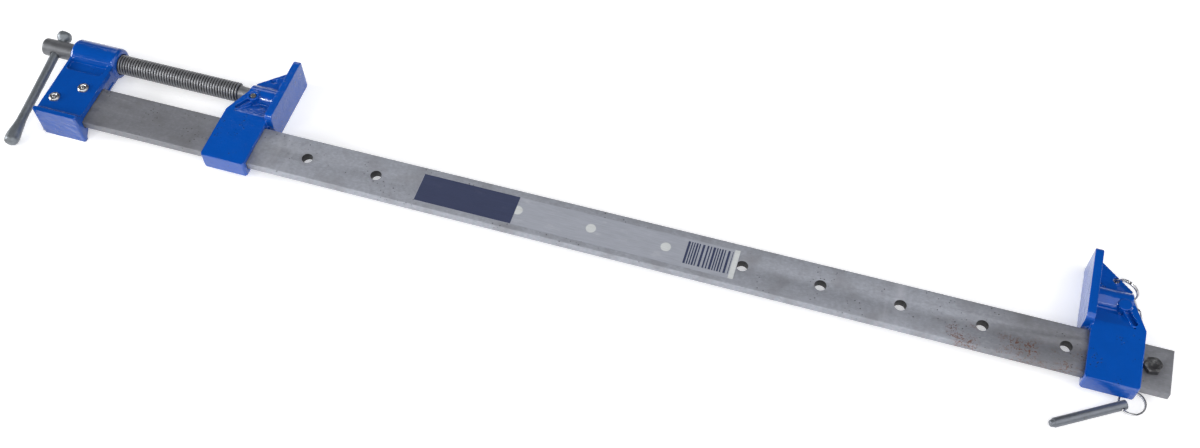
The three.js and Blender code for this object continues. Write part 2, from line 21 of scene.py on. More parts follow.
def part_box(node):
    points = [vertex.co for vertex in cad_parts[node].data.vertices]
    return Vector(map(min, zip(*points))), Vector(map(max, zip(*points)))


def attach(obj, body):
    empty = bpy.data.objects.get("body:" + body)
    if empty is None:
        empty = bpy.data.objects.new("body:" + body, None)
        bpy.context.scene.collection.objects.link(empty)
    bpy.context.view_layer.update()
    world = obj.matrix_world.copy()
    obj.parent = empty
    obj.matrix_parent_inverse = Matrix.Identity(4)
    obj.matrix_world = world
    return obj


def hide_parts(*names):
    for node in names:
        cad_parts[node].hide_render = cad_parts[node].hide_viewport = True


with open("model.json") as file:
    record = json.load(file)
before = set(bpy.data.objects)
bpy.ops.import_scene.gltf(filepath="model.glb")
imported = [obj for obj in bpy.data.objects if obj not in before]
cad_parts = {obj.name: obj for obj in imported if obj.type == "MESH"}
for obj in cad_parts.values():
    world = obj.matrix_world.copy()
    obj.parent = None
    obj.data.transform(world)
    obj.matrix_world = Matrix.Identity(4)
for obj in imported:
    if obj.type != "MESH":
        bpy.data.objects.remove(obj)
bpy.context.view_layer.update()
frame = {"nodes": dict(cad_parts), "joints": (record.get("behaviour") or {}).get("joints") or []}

log = logging.getLogger("sash_clamp")

Colour = tuple[float, float, float]
Profile = Sequence[tuple[float, float]]
Outline = list[tuple[float, float]]
Depth = Callable[[Vector, Vector], float]
Hollows = Iterable[tuple[float, float, float, float]]
Socket = bpy.types.NodeSocket

MM = 0.001
FIRST_HOLE = -171.0 * MM  # the first of the pin holes, in x
SEAM = 0.02 * MM  # between a printed patch and the film below it
WELD = 0.002 * MM  # corners this close are one
LEVEL = 0.01 * MM  # how far an upright edge may lean
MIX_COLOURS = (6, 7)  # the inputs of a Mix node that take its two colours
MIX_BLEND = 2  # its output that gives their blend


class Slot(Enum):
    """The record's material slots."""

    MILL_STEEL = "mill_steel"
    ENAMEL = "enamel"
    FORGED_STEEL = "forged_steel"
    BRIGHT_STEEL = "bright_steel"
    DARK_STEEL = "dark_steel"
    PRINTED_FILM = "printed_film"


class Cut(Enum):
    """How one mesh is combined with another."""

    DIFFERENCE = "DIFFERENCE"
    UNION = "UNION"
    INTERSECT = "INTERSECT"


@dataclass(frozen=True)
class Pattern:
    """Fractal noise: features along a metre, finer octaves laid over them, and the scale along each axis."""

    per_metre: float
    detail: float = 3.0
    stretch: tuple[float, float, float] = (1.0, 1.0, 1.0)


@dataclass(frozen=True)
class Spread:
    """Where a mark shows: a pattern, and the values of it at which the mark starts and is full."""

    pattern: Pattern
    start: float
    full: float


class Shader:
    """One procedural material and the nodes that lead to its surface."""

    def __init__(self, name: str) -> None:
        """Makes an empty material with a Principled surface.

        Args:
            name: the material's name.
        """
        self.material = bpy.data.materials.new(name)
        self.material.use_nodes = True
        self.tree = self.material.node_tree
        self.surface = self.tree.nodes["Principled BSDF"]
        self.place = self.tree.nodes.new("ShaderNodeTexCoord").outputs["Object"]

    def node(self, kind: str, **settings: object) -> bpy.types.Node:
        """Adds a node.

        Args:
            kind: the node's type, without its "ShaderNode" prefix.
            settings: properties of the node.

        Returns:
            The new node.
        """
        made = self.tree.nodes.new("ShaderNode" + kind)
        for key, value in settings.items():
            setattr(made, key, value)
        return made

    def feed(self, socket: Socket, value: object) -> None:
        """Links an output to a socket, or sets the socket to a plain value.

        Args:
            socket: the input that is set.
            value: a node's output, or a plain number or colour.
        """
        if isinstance(value, bpy.types.NodeSocket):
            self.tree.links.new(value, socket)
        else:
            socket.default_value = value

    def keep(self, name: str, value: float) -> None:
        """Sets one of the surface's own values, the same all over."""
        self.surface.inputs[name].default_value = value

    def noise(self, pattern: Pattern) -> Socket:
        """Adds fractal noise.

        Args:
            pattern: its scale, detail and stretch.

        Returns:
            The noise, about 0.5.
        """
        mapping = self.node("Mapping")
        self.feed(mapping.inputs["Vector"], self.place)
        mapping.inputs["Scale"].default_value = pattern.stretch
        made = self.node("TexNoise")
        self.feed(made.inputs["Vector"], mapping.outputs["Vector"])
        made.inputs["Scale"].default_value = pattern.per_metre
        made.inputs["Detail"].default_value = pattern.detail
        return made.outputs["Fac"]

    def spread(self, spread: Spread) -> Socket:
        """Returns 0 where a mark doesn't show and 1 where it is full."""
        return self.between(self.noise(spread.pattern), spread.start, spread.full)

    def grains(self, per_metre: float, size: float) -> Socket:
        """Adds scattered round grains.

        Args:
            per_metre: how many cells there are along a metre.
            size: the radius of a grain, as a share of its cell.

        Returns:
            1 inside a grain and 0 outside.
        """
        cells = self.node("TexVoronoi")
        self.feed(cells.inputs["Vector"], self.place)
        cells.inputs["Scale"].default_value = per_metre
        return self.between(cells.outputs["Distance"], size, size / 2)

    def between(self, value: Socket, low: float, high: float) -> Socket:
        """Maps a value straight onto 0 to 1, and holds it beyond both ends.

        Args:
            value: what is mapped.
            low: the value that gives 0.
            high: the value that gives 1; it may be the smaller one.

        Returns:
            The mapped value.
        """
        made = self.node("MapRange", clamp=True)
        self.feed(made.inputs["Value"], value)
        made.inputs["From Min"].default_value = low
        made.inputs["From Max"].default_value = high
        return made.outputs["Result"]

    def sums(self, operation: str, *values: object) -> Socket:
        """Adds a Math node.

        Args:
            operation: the node's operation.
            values: what it works on, each an output or a number.

        Returns:
            The result.
        """
        made = self.node("Math", operation=operation)
        for socket, value in zip(made.inputs, values):
            self.feed(socket, value)
        return made.outputs["Value"]

    def product(self, *values: Socket) -> Socket:
        """Multiplies values together.

        Args:
            values: two or more outputs.

        Returns:
            Their product.
        """
        total = values[0]
        for value in values[1:]:
            total = self.sums("MULTIPLY", total, value)
        return total

    def along(self, axis: str) -> Socket:
        """Gives the place on the object along one axis.

        Args:
            axis: "X", "Y" or "Z".

        Returns:
            The place, in metres.
        """
        split = self.node("SeparateXYZ")
        self.feed(split.inputs["Vector"], self.place)
        return split.outputs[axis]

    def away(self, axes: str, middle: Sequence[float]) -> Socket:
        """Measures the distance from a line or a point.

        Args:
            axes: the axes that count, such as "YZ" for the distance from a line along X.
            middle: where the line or point is on those axes.

        Returns:
            The distance, in metres.
        """
        offsets = [self.sums("SUBTRACT", self.along(axis), at) for axis, at in zip(axes, middle)]
        squares = [self.sums("MULTIPLY", offset, offset) for offset in offsets]
        return self.sums("SQRT", self.sums("ADD", *squares))

    def window(self, axis: str, low: float, high: float, edge: float) -> Socket:
        """Finds what lies between two places along an axis.

        Args:
            axis: "X", "Y" or "Z".
            low: the lower place.
            high: the higher place.
            edge: half the width of the soft edges.

        Returns:
            1 between the places and 0 outside them.
        """
        place = self.along(axis)
        risen = self.between(place, low - edge, low + edge)
        return self.product(risen, self.between(place, high + edge, high - edge))

    def mix(self, factor: Socket | float, first: Colour | Socket, second: Colour | Socket) -> Socket:
        """Blends two colours.

        Args:
            factor: 0 for the first colour, 1 for the second.
            first: a colour, or the output that gives it.
            second: the same for the other.

        Returns:
            The blend.
        """
        made = self.node("Mix", data_type="RGBA")
        self.feed(made.inputs["Factor"], factor)
        for socket, value in zip(MIX_COLOURS, (first, second)):
            self.feed(made.inputs[socket], (*value, 1.0) if isinstance(value, tuple) else value)
        return made.outputs[MIX_BLEND]

    def marked(self, base: Socket, marks: Socket, strength: float, colour: Colour) -> Socket:
        """Returns a base colour with marks of another colour laid over it."""
        return self.mix(self.sums("MULTIPLY", marks, strength), base, colour)

    def shades(self, factor: Socket, dark: float, light: float, colour: Colour) -> Socket:
        """Makes a colour darker and lighter over the surface.

        Args:
            factor: 0 where it is darkest and 1 where it is lightest.
            dark: the share of the colour at 0.
            light: the share of the colour at 1.
            colour: the plain colour.

        Returns:
            The shaded colour.
        """
        low = tuple(channel * dark for channel in colour)
        high = tuple(channel * light for channel in colour)
        return self.mix(factor, low, high)

    def colour(self, value: Socket) -> None:
        """Sets the surface's colour."""
        self.feed(self.surface.inputs["Base Color"], value)

    def roughness(self, value: Socket, low: float, high: float) -> None:
        """Sets the surface's roughness.

        Args:
            value: runs from 0 to 1 over the surface.
            low: the roughness at 0.
            high: the roughness at 1.
        """
        made = self.node("MapRange", clamp=True)
        self.feed(made.inputs["Value"], value)
        made.inputs["To Min"].default_value = low
        made.inputs["To Max"].default_value = high
        self.feed(self.surface.inputs["Roughness"], made.outputs["Result"])

    def bump(self, *layers: tuple[Socket, float]) -> None:
        """Adds bumps to the surface, one over the other.

        Args:
            layers: pairs of a height from 0 to 1 and its depth in metres.
        """
        normal = None
        for height, depth in layers:
            made = self.node("Bump")
            made.inputs["Distance"].default_value = depth
            self.feed(made.inputs["Height"], height)
            if normal is not None:
                self.feed(made.inputs["Normal"], normal)
            normal = made.outputs["Normal"]
        self.feed(self.surface.inputs["Normal"], normal)


@dataclass(frozen=True)
class Enamel:
    """Gloss paint over an as-cast surface, with small pits and dark specks."""

    name: str = "gloss_enamel"
    colour: Colour = (0.0, 0.078, 0.43)
    speck: Colour = (0.0, 0.03, 0.12)
    cloud: Pattern = Pattern(90, 4)
    cloud_shades: tuple[float, float] = (0.9, 1.1)
    specks_per_metre: float = 520
    speck_size: float = 0.3
    speck_deep: float = 0.08 * MM
    speck_clusters: Spread = Spread(Pattern(70, 2), 0.56, 0.66)
    ripple: Pattern = Pattern(330, 2)
    ripple_deep: float = 0.12 * MM
    pores: Pattern = Pattern(1300, 3)
    pore_deep: float = 0.02 * MM
    polish: Pattern = Pattern(160, 3)
    rough: tuple[float, float] = (0.1, 0.18)
    coat: float = 0.25
    coat_rough: float = 0.06

    def build(self) -> bpy.types.Material:
        """Builds the paint.

        Returns:
            The material.
        """
        shader = Shader(self.name)
        cloud = shader.noise(self.cloud)
        specks = shader.product(
            shader.grains(self.specks_per_metre, self.speck_size), shader.spread(self.speck_clusters)
        )
        shader.colour(shader.mix(specks, shader.shades(cloud, *self.cloud_shades, self.colour), self.speck))
        shader.roughness(shader.noise(self.polish), *self.rough)
        ripple, pores = shader.noise(self.ripple), shader.noise(self.pores)
        shader.bump((ripple, self.ripple_deep), (pores, self.pore_deep), (specks, -self.speck_deep))
        shader.keep("Coat Weight", self.coat)
        shader.keep("Coat Roughness", self.coat_rough)
        return shader.material


@dataclass(frozen=True)
class MillSteel:
    """Rolled flat bar: lengthwise grain, dull blotches, pale smears, dark pits and a little rust near the tail.

    Places are along the bar, or from its middle line where a name ends in "side".
    """

    middle: float
    hole_radius: float
    colour: Colour = (0.38, 0.396, 0.445)
    grain: Pattern = Pattern(1400, 4, (0.3, 1.0, 1.0))
    grain_deep: float = 0.01 * MM
    fine_grain: Pattern = Pattern(450, 4)
    grain_ends: tuple[float, float] = (0.12, 0.4)
    grain_shades: tuple[float, float] = (0.86, 1.12)
    scale: Pattern = Pattern(700, 4)
    scale_deep: float = 0.03 * MM
    stain: Colour = (0.27, 0.275, 0.3)
    stains: Spread = Spread(Pattern(60, 5), 0.5, 0.78)
    dull: Colour = (0.09, 0.085, 0.085)
    dull_ends: tuple[float, float] = (-0.225, 0.29)
    dull_edge: float = 30 * MM
    dulled: float = 0.54
    smear: Colour = (0.5, 0.51, 0.56)
    smears: tuple[tuple[float, float], ...] = ((-0.197, -0.183), (0.222, 0.238))
    smear_edge: float = 4 * MM
    smear_streaks: Spread = Spread(Pattern(160, 4, (1.0, 0.25, 1.0)), 0.42, 0.62)
    smeared: float = 0.55
    rust: Colour = (0.16, 0.06, 0.03)
    rusty: tuple[float, float] = (0.262, 0.35)
    rusty_edge: float = 8 * MM
    rusty_side: tuple[float, float] = (-20 * MM, -1 * MM)
    rusty_side_edge: float = 3 * MM
    rust_clusters: Spread = Spread(Pattern(70, 3), 0.42, 0.6)
    rust_bloom: Spread = Spread(Pattern(210, 5), 0.54, 0.7)
    bloomed: float = 0.5
    rust_spots: Spread = Spread(Pattern(900, 2), 0.54, 0.6)
    spotted: float = 0.8
    pit: Colour = (0.02, 0.016, 0.014)
    pits_per_metre: float = 330
    pit_size: float = 0.2
    pit_deep: float = 0.1 * MM
    pit_clusters: Spread = Spread(Pattern(45, 2), 0.52, 0.6)
    pitted: float = 0.7
    # painted shade: the colour of the walls of the holes
    wall: Colour = (0.03, 0.03, 0.032)
    wall_row: tuple[float, float] = (-0.34, 0.395)
    wall_row_edge: float = 0.5 * MM
    wall_side: float = 0.1 * MM
    wall_side_edge: float = 0.05 * MM
    upright: tuple[float, float] = (0.8, 0.5)
    metallic: float = 0.38
    polish: Pattern = Pattern(240, 4)
    rough: tuple[float, float] = (0.4, 0.6)

    def build(self) -> bpy.types.Material:
        """Builds the rolled steel.

        Returns:
            The material.
        """
        shader = Shader("mill_steel")
        grain = shader.noise(self.grain)
        base = shader.mix(shader.spread(self.stains), self.shaded(shader, grain), self.stain)
        base = self.smeared_steel(shader, self.dulled_ends(shader, base))
        base = self.rusted(shader, base)
        pits = shader.product(shader.grains(self.pits_per_metre, self.pit_size), shader.spread(self.pit_clusters))
        base = shader.marked(base, pits, self.pitted, self.pit)
        # the walls of the holes take painted shade
        shader.colour(shader.mix(self.hole_wall_shade(shader), base, self.wall))
        shader.keep("Metallic", self.metallic)
        shader.roughness(shader.noise(self.polish), *self.rough)
        scale = shader.noise(self.scale)
        shader.bump((grain, self.grain_deep), (scale, self.scale_deep), (pits, -self.pit_deep))
        return shader.material

    def shaded(self, shader: Shader, grain: Socket) -> Socket:
        """Returns the bare steel's colour with its grain."""
        both = shader.product(grain, shader.noise(self.fine_grain))
        return shader.shades(shader.between(both, *self.grain_ends), *self.grain_shades, self.colour)

    def dulled_ends(self, shader: Shader, base: Socket) -> Socket:
        """Darkens the two ends of the bar.

        Args:
            shader: the material's nodes.
            base: the colour so far.

        Returns:
            The new colour.
        """
        place = shader.along("X")
        for at, edge in zip(self.dull_ends, (self.dull_edge, -self.dull_edge)):
            base = shader.marked(base, shader.between(place, at + edge, at - edge), self.dulled, self.dull)
        return base

    def smeared_steel(self, shader: Shader, base: Socket) -> Socket:
        """Lays the pale smears across the bar.

        Args:
            shader: the material's nodes.
            base: the colour so far.

        Returns:
            The new colour.
        """
        for low, high in self.smears:
            band = shader.window("X", low, high, self.smear_edge)
            base = shader.marked(
                base, shader.product(band, shader.spread(self.smear_streaks)), self.smeared, self.smear
            )
        return base

    def rusted(self, shader: Shader, base: Socket) -> Socket:
        """Lays rust along the near half of the bar, before its tail.

        Args:
            shader: the material's nodes.
            base: the colour so far.

        Returns:
            The new colour.
        """
        low, high = (self.middle + side for side in self.rusty_side)
        near = shader.window("Y", low, high, self.rusty_side_edge)
        along = shader.window("X", *self.rusty, self.rusty_edge)
        zone = shader.product(along, near, shader.spread(self.rust_clusters))
        for marks, strength in ((self.rust_bloom, self.bloomed), (self.rust_spots, self.spotted)):
            base = shader.marked(base, shader.product(zone, shader.spread(marks)), strength, self.rust)
        return base

    def hole_wall_shade(self, shader: Shader) -> Socket:
        """Finds the walls of the holes, which are painted dark as shade.

        Args:
            shader: the material's nodes.

        Returns:
            1 on the walls and 0 elsewhere.
        """
        facing = shader.node("SeparateXYZ")
        shader.feed(facing.inputs["Vector"], shader.node("TexCoord").outputs["Normal"])
        upright = shader.between(shader.sums("ABSOLUTE", facing.outputs["Z"]), *self.upright)
        half = self.hole_radius + self.wall_side
        row = shader.window("Y", self.middle - half, self.middle + half, self.wall_side_edge)
        return shader.product(upright, row, shader.window("X", *self.wall_row, self.wall_row_edge))


@dataclass(frozen=True)
class ForgedSteel:
    """Plain worked steel, mottled light and dark with an oily film."""

    name: str
    colour: Colour
    dark: Colour
    metallic: float
    rough: tuple[float, float]
    deep: float
    mottle: Pattern = Pattern(260, 5)
    mottle_shades: tuple[float, float] = (0.8, 1.2)
    stains: Spread = Spread(Pattern(80, 3), 0.35, 0.7)
    stain_ends: tuple[float, float] = (0.45, 0.7)
    dents: Pattern = Pattern(500, 4)
    scratches: Pattern = Pattern(2400, 2)
    scratch_deep: float = 0.01 * MM

    def build(self) -> bpy.types.Material:
        """Builds the worked steel.

        Returns:
            The material.
        """
        shader = Shader(self.name)
        mottle = shader.noise(self.mottle)
        stain = shader.product(shader.spread(self.stains), shader.between(mottle, *self.stain_ends))
        shader.colour(shader.mix(stain, shader.shades(mottle, *self.mottle_shades, self.colour), self.dark))
        shader.keep("Metallic", self.metallic)
        shader.roughness(mottle, *self.rough)
        shader.bump((shader.noise(self.dents), self.deep), (shader.noise(self.scratches), self.scratch_deep))
        return shader.material


@dataclass(frozen=True)
class CutThread:
    """Turned steel whose crests shine and whose roots are darkened with painted shade and oil.

    The thread runs along X between `start` and `end`, about a line at `axis` in Y and Z. Painted shade and oil fill
    its roots from `root_shade_full` down, and are gone at `root_shade_gone`, both radii.
    """

    axis: tuple[float, float]
    start: float
    end: float
    root_shade_full: float
    root_shade_gone: float
    colour: Colour = (0.27, 0.275, 0.29)
    colour_shades: tuple[float, float] = (0.75, 1.2)
    head: Colour = (0.17, 0.175, 0.185)
    head_shades: tuple[float, float] = (0.75, 1.25)
    head_edge: float = 1 * MM
    # painted shade, with oil, in the thread's roots
    root_oil_and_shade: Colour = (0.02, 0.019, 0.018)
    root_shade_edge: float = 0.5 * MM
    stain: Colour = (0.2, 0.195, 0.195)
    stains: Spread = Spread(Pattern(75, 3), 0.4, 0.7)
    stain_ends: tuple[float, float] = (0.45, 0.7)
    mottle: Pattern = Pattern(260, 5)
    metallic: float = 0.65
    rough: tuple[float, float] = (0.36, 0.48)
    tool_marks: Pattern = Pattern(600, 3)
    tool_deep: float = 0.006 * MM

    def build(self) -> bpy.types.Material:
        """Builds the turned steel.

        Returns:
            The material.
        """
        shader = Shader("cut_thread")
        mottle = shader.noise(self.mottle)
        stain = shader.product(shader.spread(self.stains), shader.between(mottle, *self.stain_ends))
        plain = shader.mix(stain, shader.shades(mottle, *self.colour_shades, self.colour), self.stain)
        turned_head = shader.between(shader.along("X"), self.start, self.start - self.head_edge)
        plain = shader.mix(turned_head, plain, shader.shades(mottle, *self.head_shades, self.head))
        # painted shade in the roots: full at the root, gone towards the crest
        deep = shader.between(shader.away("YZ", self.axis), self.root_shade_gone, self.root_shade_full)
        shaded_roots = shader.product(deep, shader.window("X", self.start, self.end, self.root_shade_edge))
        shader.colour(shader.mix(shaded_roots, plain, self.root_oil_and_shade))
        shader.keep("Metallic", self.metallic)
        shader.roughness(mottle, *self.rough)
        shader.bump((shader.noise(self.tool_marks), self.tool_deep))
        return shader.material


@dataclass(frozen=True)
class BrightSteel:
    """Zinc plate with a clear gloss and faint handling marks."""

    name: str
    colour: Colour
    rough: tuple[float, float]
    marks: Pattern = Pattern(700, 4)
    mark_ends: tuple[float, float] = (0.3, 0.7)
    mark_shades: tuple[float, float] = (0.72, 1.08)
    scratches: Pattern = Pattern(1800, 3)
    scratch_deep: float = 0.008 * MM

    def build(self) -> bpy.types.Material:
        """Builds the plated steel.

        Returns:
            The material.
        """
        shader = Shader(self.name)
        marks = shader.noise(self.marks)
        shader.colour(shader.shades(shader.between(marks, *self.mark_ends), *self.mark_shades, self.colour))
        shader.keep("Metallic", 1.0)
        shader.roughness(marks, *self.rough)
        shader.bump((shader.noise(self.scratches), self.scratch_deep))
        return shader.material


@dataclass(frozen=True)
class BlackOxide:
    """Dark oiled bolt steel, worn paler where it is handled."""

    colour: Colour = (0.07, 0.07, 0.074)
    worn: Colour = (0.22, 0.22, 0.225)
    wear: Spread = Spread(Pattern(420, 4), 0.48, 0.72)
    metallic: float = 0.7
    rough: tuple[float, float] = (0.34, 0.5)
    scale: Pattern = Pattern(1200, 3)
    scale_deep: float = 0.02 * MM

    def build(self) -> bpy.types.Material:
        """Builds the blackened steel.

        Returns:
            The material.
        """
        shader = Shader("black_oxide")
        wear = shader.spread(self.wear)
        shader.colour(shader.mix(wear, self.colour, self.worn))
        shader.keep("Metallic", self.metallic)
        shader.roughness(wear, *self.rough)
        shader.bump((shader.noise(self.scale), self.scale_deep))
        return shader.material


@dataclass(frozen=True)
class Film:
    """Thin film that lies on the bar, clear or printed, with faint scuffs."""

    name: str
    colour: Colour
    scuff: Colour
    metallic: float
    scuffed: float
    grain: Spread = Spread(Pattern(1300, 4, (0.08, 1.0, 1.0)), 0.3, 0.7)
    grain_shades: tuple[float, float] = (0.92, 1.07)
    scuffs: Spread = Spread(Pattern(190, 6, (0.5, 1.0, 1.0)), 0.6, 0.78)
    polish: Pattern = Pattern(120, 3)
    rough: tuple[float, float] = (0.44, 0.6)
    wrinkles: Pattern = Pattern(260, 3)
    wrinkle_deep: float = 0.015 * MM

    def build(self) -> bpy.types.Material:
        """Builds the film.

        Returns:
            The material.
        """
        shader = Shader(self.name)
        base = shader.shades(shader.spread(self.grain), *self.grain_shades, self.colour)
        shader.colour(shader.marked(base, shader.spread(self.scuffs), self.scuffed, self.scuff))
        shader.keep("Metallic", self.metallic)
        shader.roughness(shader.noise(self.polish), *self.rough)
        shader.bump((shader.noise(self.wrinkles), self.wrinkle_deep))
        return shader.material


def object_of(name: str, vertices: Iterable[Sequence[float]], faces: Iterable[Sequence[int]]) -> bpy.types.Object:
    """Makes an object from vertices and faces, with its faces looking outwards.

    Args:
        name: the object's name.
        vertices: places in metres.
        faces: vertex indices of each face.

    Returns:
        The object, linked to the scene.
    """
    mesh = bpy.data.meshes.new(name)
    mesh.from_pydata([tuple(v) for v in vertices], [], [tuple(f) for f in faces])
    work = bmesh.new()
    work.from_mesh(mesh)
    bmesh.ops.recalc_face_normals(work, faces=work.faces)
    work.to_mesh(mesh)
    work.free()
    made = bpy.data.objects.new(name, mesh)
    bpy.context.scene.collection.objects.link(made)
    return made


def bake(made: bpy.types.Object) -> bpy.types.Object:
    """Applies an object's modifiers.

    Args:
        made: the object.

    Returns:
        The same object with a plain mesh.
    """
    graph = bpy.context.evaluated_depsgraph_get()
    mesh = bpy.data.meshes.new_from_object(made.evaluated_get(graph))
    made.modifiers.clear()
    made.data = mesh
    return made


def combine(made: bpy.types.Object, tool: bpy.types.Object, cut: Cut) -> bpy.types.Object:
    """Combines an object with a tool, and removes the tool.

    Args:
        made: the object.
        tool: what it is combined with.
        cut: how they are combined.

    Returns:
        The object.
    """
    step = made.modifiers.new("combine", "BOOLEAN")
    step.operation = cut.value
    step.solver = "EXACT"
    step.object = tool
    bake(made)
    bpy.data.objects.remove(tool)
    return made


def ease_edges(made: bpy.types.Object, width: float, segments: int, angle: float) -> bpy.types.Object:
    """Rounds an object's sharp edges.

    Args:
        made: the object.
        width: how far the round starts from an edge.
        segments: its steps.
        angle: the least turn of an edge that is rounded, in degrees.

    Returns:
        The object.
    """
    step = made.modifiers.new("ease", "BEVEL")
    step.width = width
    step.segments = segments
    step.limit_method = "ANGLE"
    step.angle_limit = math.radians(angle)
    step.use_clamp_overlap = True
    return bake(made)


def shade(made: bpy.types.Object, angle: float) -> bpy.types.Object:
    """Smooths an object's shading.

    Args:
        made: the object.
        angle: the turn of an edge, in degrees, over which it stays sharp.

    Returns:
        The object.
    """
    made.data.shade_smooth()
    made.data.set_sharp_from_angle(angle=math.radians(angle))
    return made


def roughen(made: bpy.types.Object, depth: Depth) -> bpy.types.Object:
    """Moves each vertex along its normal.

    Args:
        made: the object.
        depth: gives how far a vertex moves, from its place and its normal.

    Returns:
        The object.
    """
    normals = [v.normal.copy() for v in made.data.vertices]
    for vertex, normal in zip(made.data.vertices, normals):
        vertex.co += normal * depth(vertex.co, normal)
    return made


def end_dents(per_metre: float, deep: float) -> Depth:
    """Finds the dents on the two ends of an upright piece, where it was hammered.

    Args:
        per_metre: how many dents there are along a metre.
        deep: how deep they are.

    Returns:
        A function that gives the depth of the dents.
    """

    def depth(place: Vector, normal: Vector) -> float:
        """Returns how far the surface moves out at one place."""
        return (noise.noise(place * per_metre) - 0.5) * deep * abs(normal.z)

    return depth


def filleted(profile: Profile, radius: float, steps: int = 5) -> Outline:
    """Rounds the inner corners of an open outline.

    Args:
        profile: the outline's points.
        radius: how far from each corner its round starts, less where the sides are short.
        steps: points along each round.

    Returns:
        The rounded outline.
    """
    most = 0.45  # of a side
    points = [Vector(p) for p in profile]
    made = [tuple(points[0])]
    for before, corner, after in zip(points, points[1:], points[2:]):
        reach = min(radius, (corner - before).length * most, (after - corner).length * most)
        start = corner + (before - corner).normalized() * reach
        end = corner + (after - corner).normalized() * reach
        for i in range(steps + 1):
            t = i / steps
            made.append(tuple(start * (1 - t) ** 2 + corner * 2 * t * (1 - t) + end * t**2))
    made.append(tuple(points[-1]))
    return made


def densified(profile: Profile, step: float) -> Outline:
    """Adds points to an outline.

    Args:
        profile: the outline.
        step: the longest side that stays.

    Returns:
        The outline with more points.
    """
    made = [profile[0]]
    for (a, ra), (b, rb) in zip(profile, profile[1:]):
        count = max(1, math.ceil(math.hypot(b - a, rb - ra) / step))
        made += [(a + (b - a) * i / count, ra + (rb - ra) * i / count) for i in range(1, count + 1)]
    return made


def grid(name: str, rows: Sequence[Sequence[Vector]], loop: bool = False) -> bpy.types.Object:
    """Joins rings of vertices with faces.

    Args:
        name: the object's name.
        rows: rings with the same number of vertices each.
        loop: whether the last ring joins the first; if not, both ends are closed.

    Returns:
        The object.
    """
    count = len(rows[0])
    vertices = [v for row in rows for v in row]
    faces = []
    for i in range(len(rows) if loop else len(rows) - 1):
        here, there = i * count, (i + 1) % len(rows) * count
        for j in range(count):
            k = (j + 1) % count
            faces.append((here + j, here + k, there + k, there + j))
    if not loop:
        faces.append(range(count))
        faces.append(range(len(vertices) - count, len(vertices)))
    return object_of(name, vertices, faces)


@dataclass(frozen=True)
class Placement:
    """Where a piece stands: its middle and its own three axes, in the model's frame."""

    middle: Vector
    x: Vector
    y: Vector
    z: Vector

    @classmethod
    def upright(cls, middle: Sequence[float]) -> "Placement":
        """Returns a placement with the model's own axes."""
        return cls(Vector(middle), Vector((1, 0, 0)), Vector((0, 1, 0)), Vector((0, 0, 1)))

    @classmethod
    def lengthwise(cls, middle: Sequence[float], axis: Sequence[float] = (1, 0, 0)) -> "Placement":
        """Places a piece along a line.

        Args:
            middle: its middle.
            axis: the line, which its own z follows.

        Returns:
            The placement.
        """
        z = Vector(axis).normalized()
        x = z.orthogonal().normalized()
        return cls(Vector(middle), x, z.cross(x), z)

    @classmethod
    def of_node(cls, node: str) -> "Placement":
        """Finds the placement of a node, with x along its longest extent and z along its shortest.

        Args:
            node: the node.

        Returns:
            The placement.
        """
        points = np.array([v.co for v in frame["nodes"][node].data.vertices])
        points = np.unique(np.round(points, 7), axis=0)
        middle = (points.min(0) + points.max(0)) / 2
        _, axes = np.linalg.eigh(np.cov((points - points.mean(0)).T))
        x, y = Vector(axes[:, 2]), Vector(axes[:, 1])
        return cls(Vector(middle), x, y, x.cross(y))

    def at(self, x: float, y: float, z: float) -> Vector:
        """Returns a place given in the piece's own axes."""
        return self.middle + self.x * x + self.y * y + self.z * z


def frame_joint(name: str) -> Vector:
    """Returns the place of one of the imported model's hinges."""
    return next(Vector(joint["pos_m"]) for joint in frame["joints"] if joint["name"] == name)


def frame_axis(name: str) -> Vector:
    """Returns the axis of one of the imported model's joints."""
    return next(Vector(joint["axis"]) for joint in frame["joints"] if joint["name"] == name)


def turned(name: str, profile: Profile, stand: Placement, sides: int = 48) -> bpy.types.Object:
    """Turns an outline round a placement's z axis.

    Args:
        name: the object's name.
        profile: pairs of a height along the axis and a radius above zero.
        stand: the placement.
        sides: how many sides the round has.

    Returns:
        The object, closed at both ends.
    """
    turns = [2 * math.pi * i / sides for i in range(sides)]
    rows = [[stand.at(r * math.cos(a), r * math.sin(a), along) for a in turns] for along, r in profile]
    return grid(name, rows)


def prism(name: str, outline: Profile, low: float, high: float, stand: Placement) -> bpy.types.Object:
    """Makes a block of an outline.

    Args:
        name: the object's name.
        outline: the outline in the placement's x and y.
        low: where the block starts along z.
        high: where it ends.
        stand: the placement.

    Returns:
        The object.
    """
    rows = [[stand.at(x, y, z) for x, y in outline] for z in (low, high)]
    return grid(name, rows)


def capsule(start: Vector, end: Vector, radius: float, steps: int = 10) -> Outline:
    """Draws a slot with round ends between two points in a plane.

    Args:
        start: the middle of one end.
        end: the middle of the other.
        radius: half the slot's width.
        steps: the steps of each round.

    Returns:
        The outline.
    """
    along = (end - start).normalized()
    heading = math.atan2(along.y, along.x)
    outline = []
    for middle, first in ((end, -math.pi / 2), (start, math.pi / 2)):
        for i in range(steps + 1):
            angle = heading + first + math.pi * i / steps
            outline.append((middle.x + radius * math.cos(angle), middle.y + radius * math.sin(angle)))
    return outline


def round_cornered(low: tuple[float, float], high: tuple[float, float], radius: float, steps: int = 6) -> Outline:
    """Draws a rectangle with round corners.

    Args:
        low: its lowest corner.
        high: its highest corner.
        radius: the corners' radius.
        steps: the steps of each corner.

    Returns:
        The outline.
    """
    middles = ((high[0] - radius, low[1] + radius), (high[0] - radius, high[1] - radius))
    middles += ((low[0] + radius, high[1] - radius), (low[0] + radius, low[1] + radius))
    outline = []
    for turn, (x, y) in enumerate(middles, -1):
        for i in range(steps + 1):
            angle = math.pi / 2 * (turn + i / steps)
            outline.append((x + radius * math.cos(angle), y + radius * math.sin(angle)))
    return outline


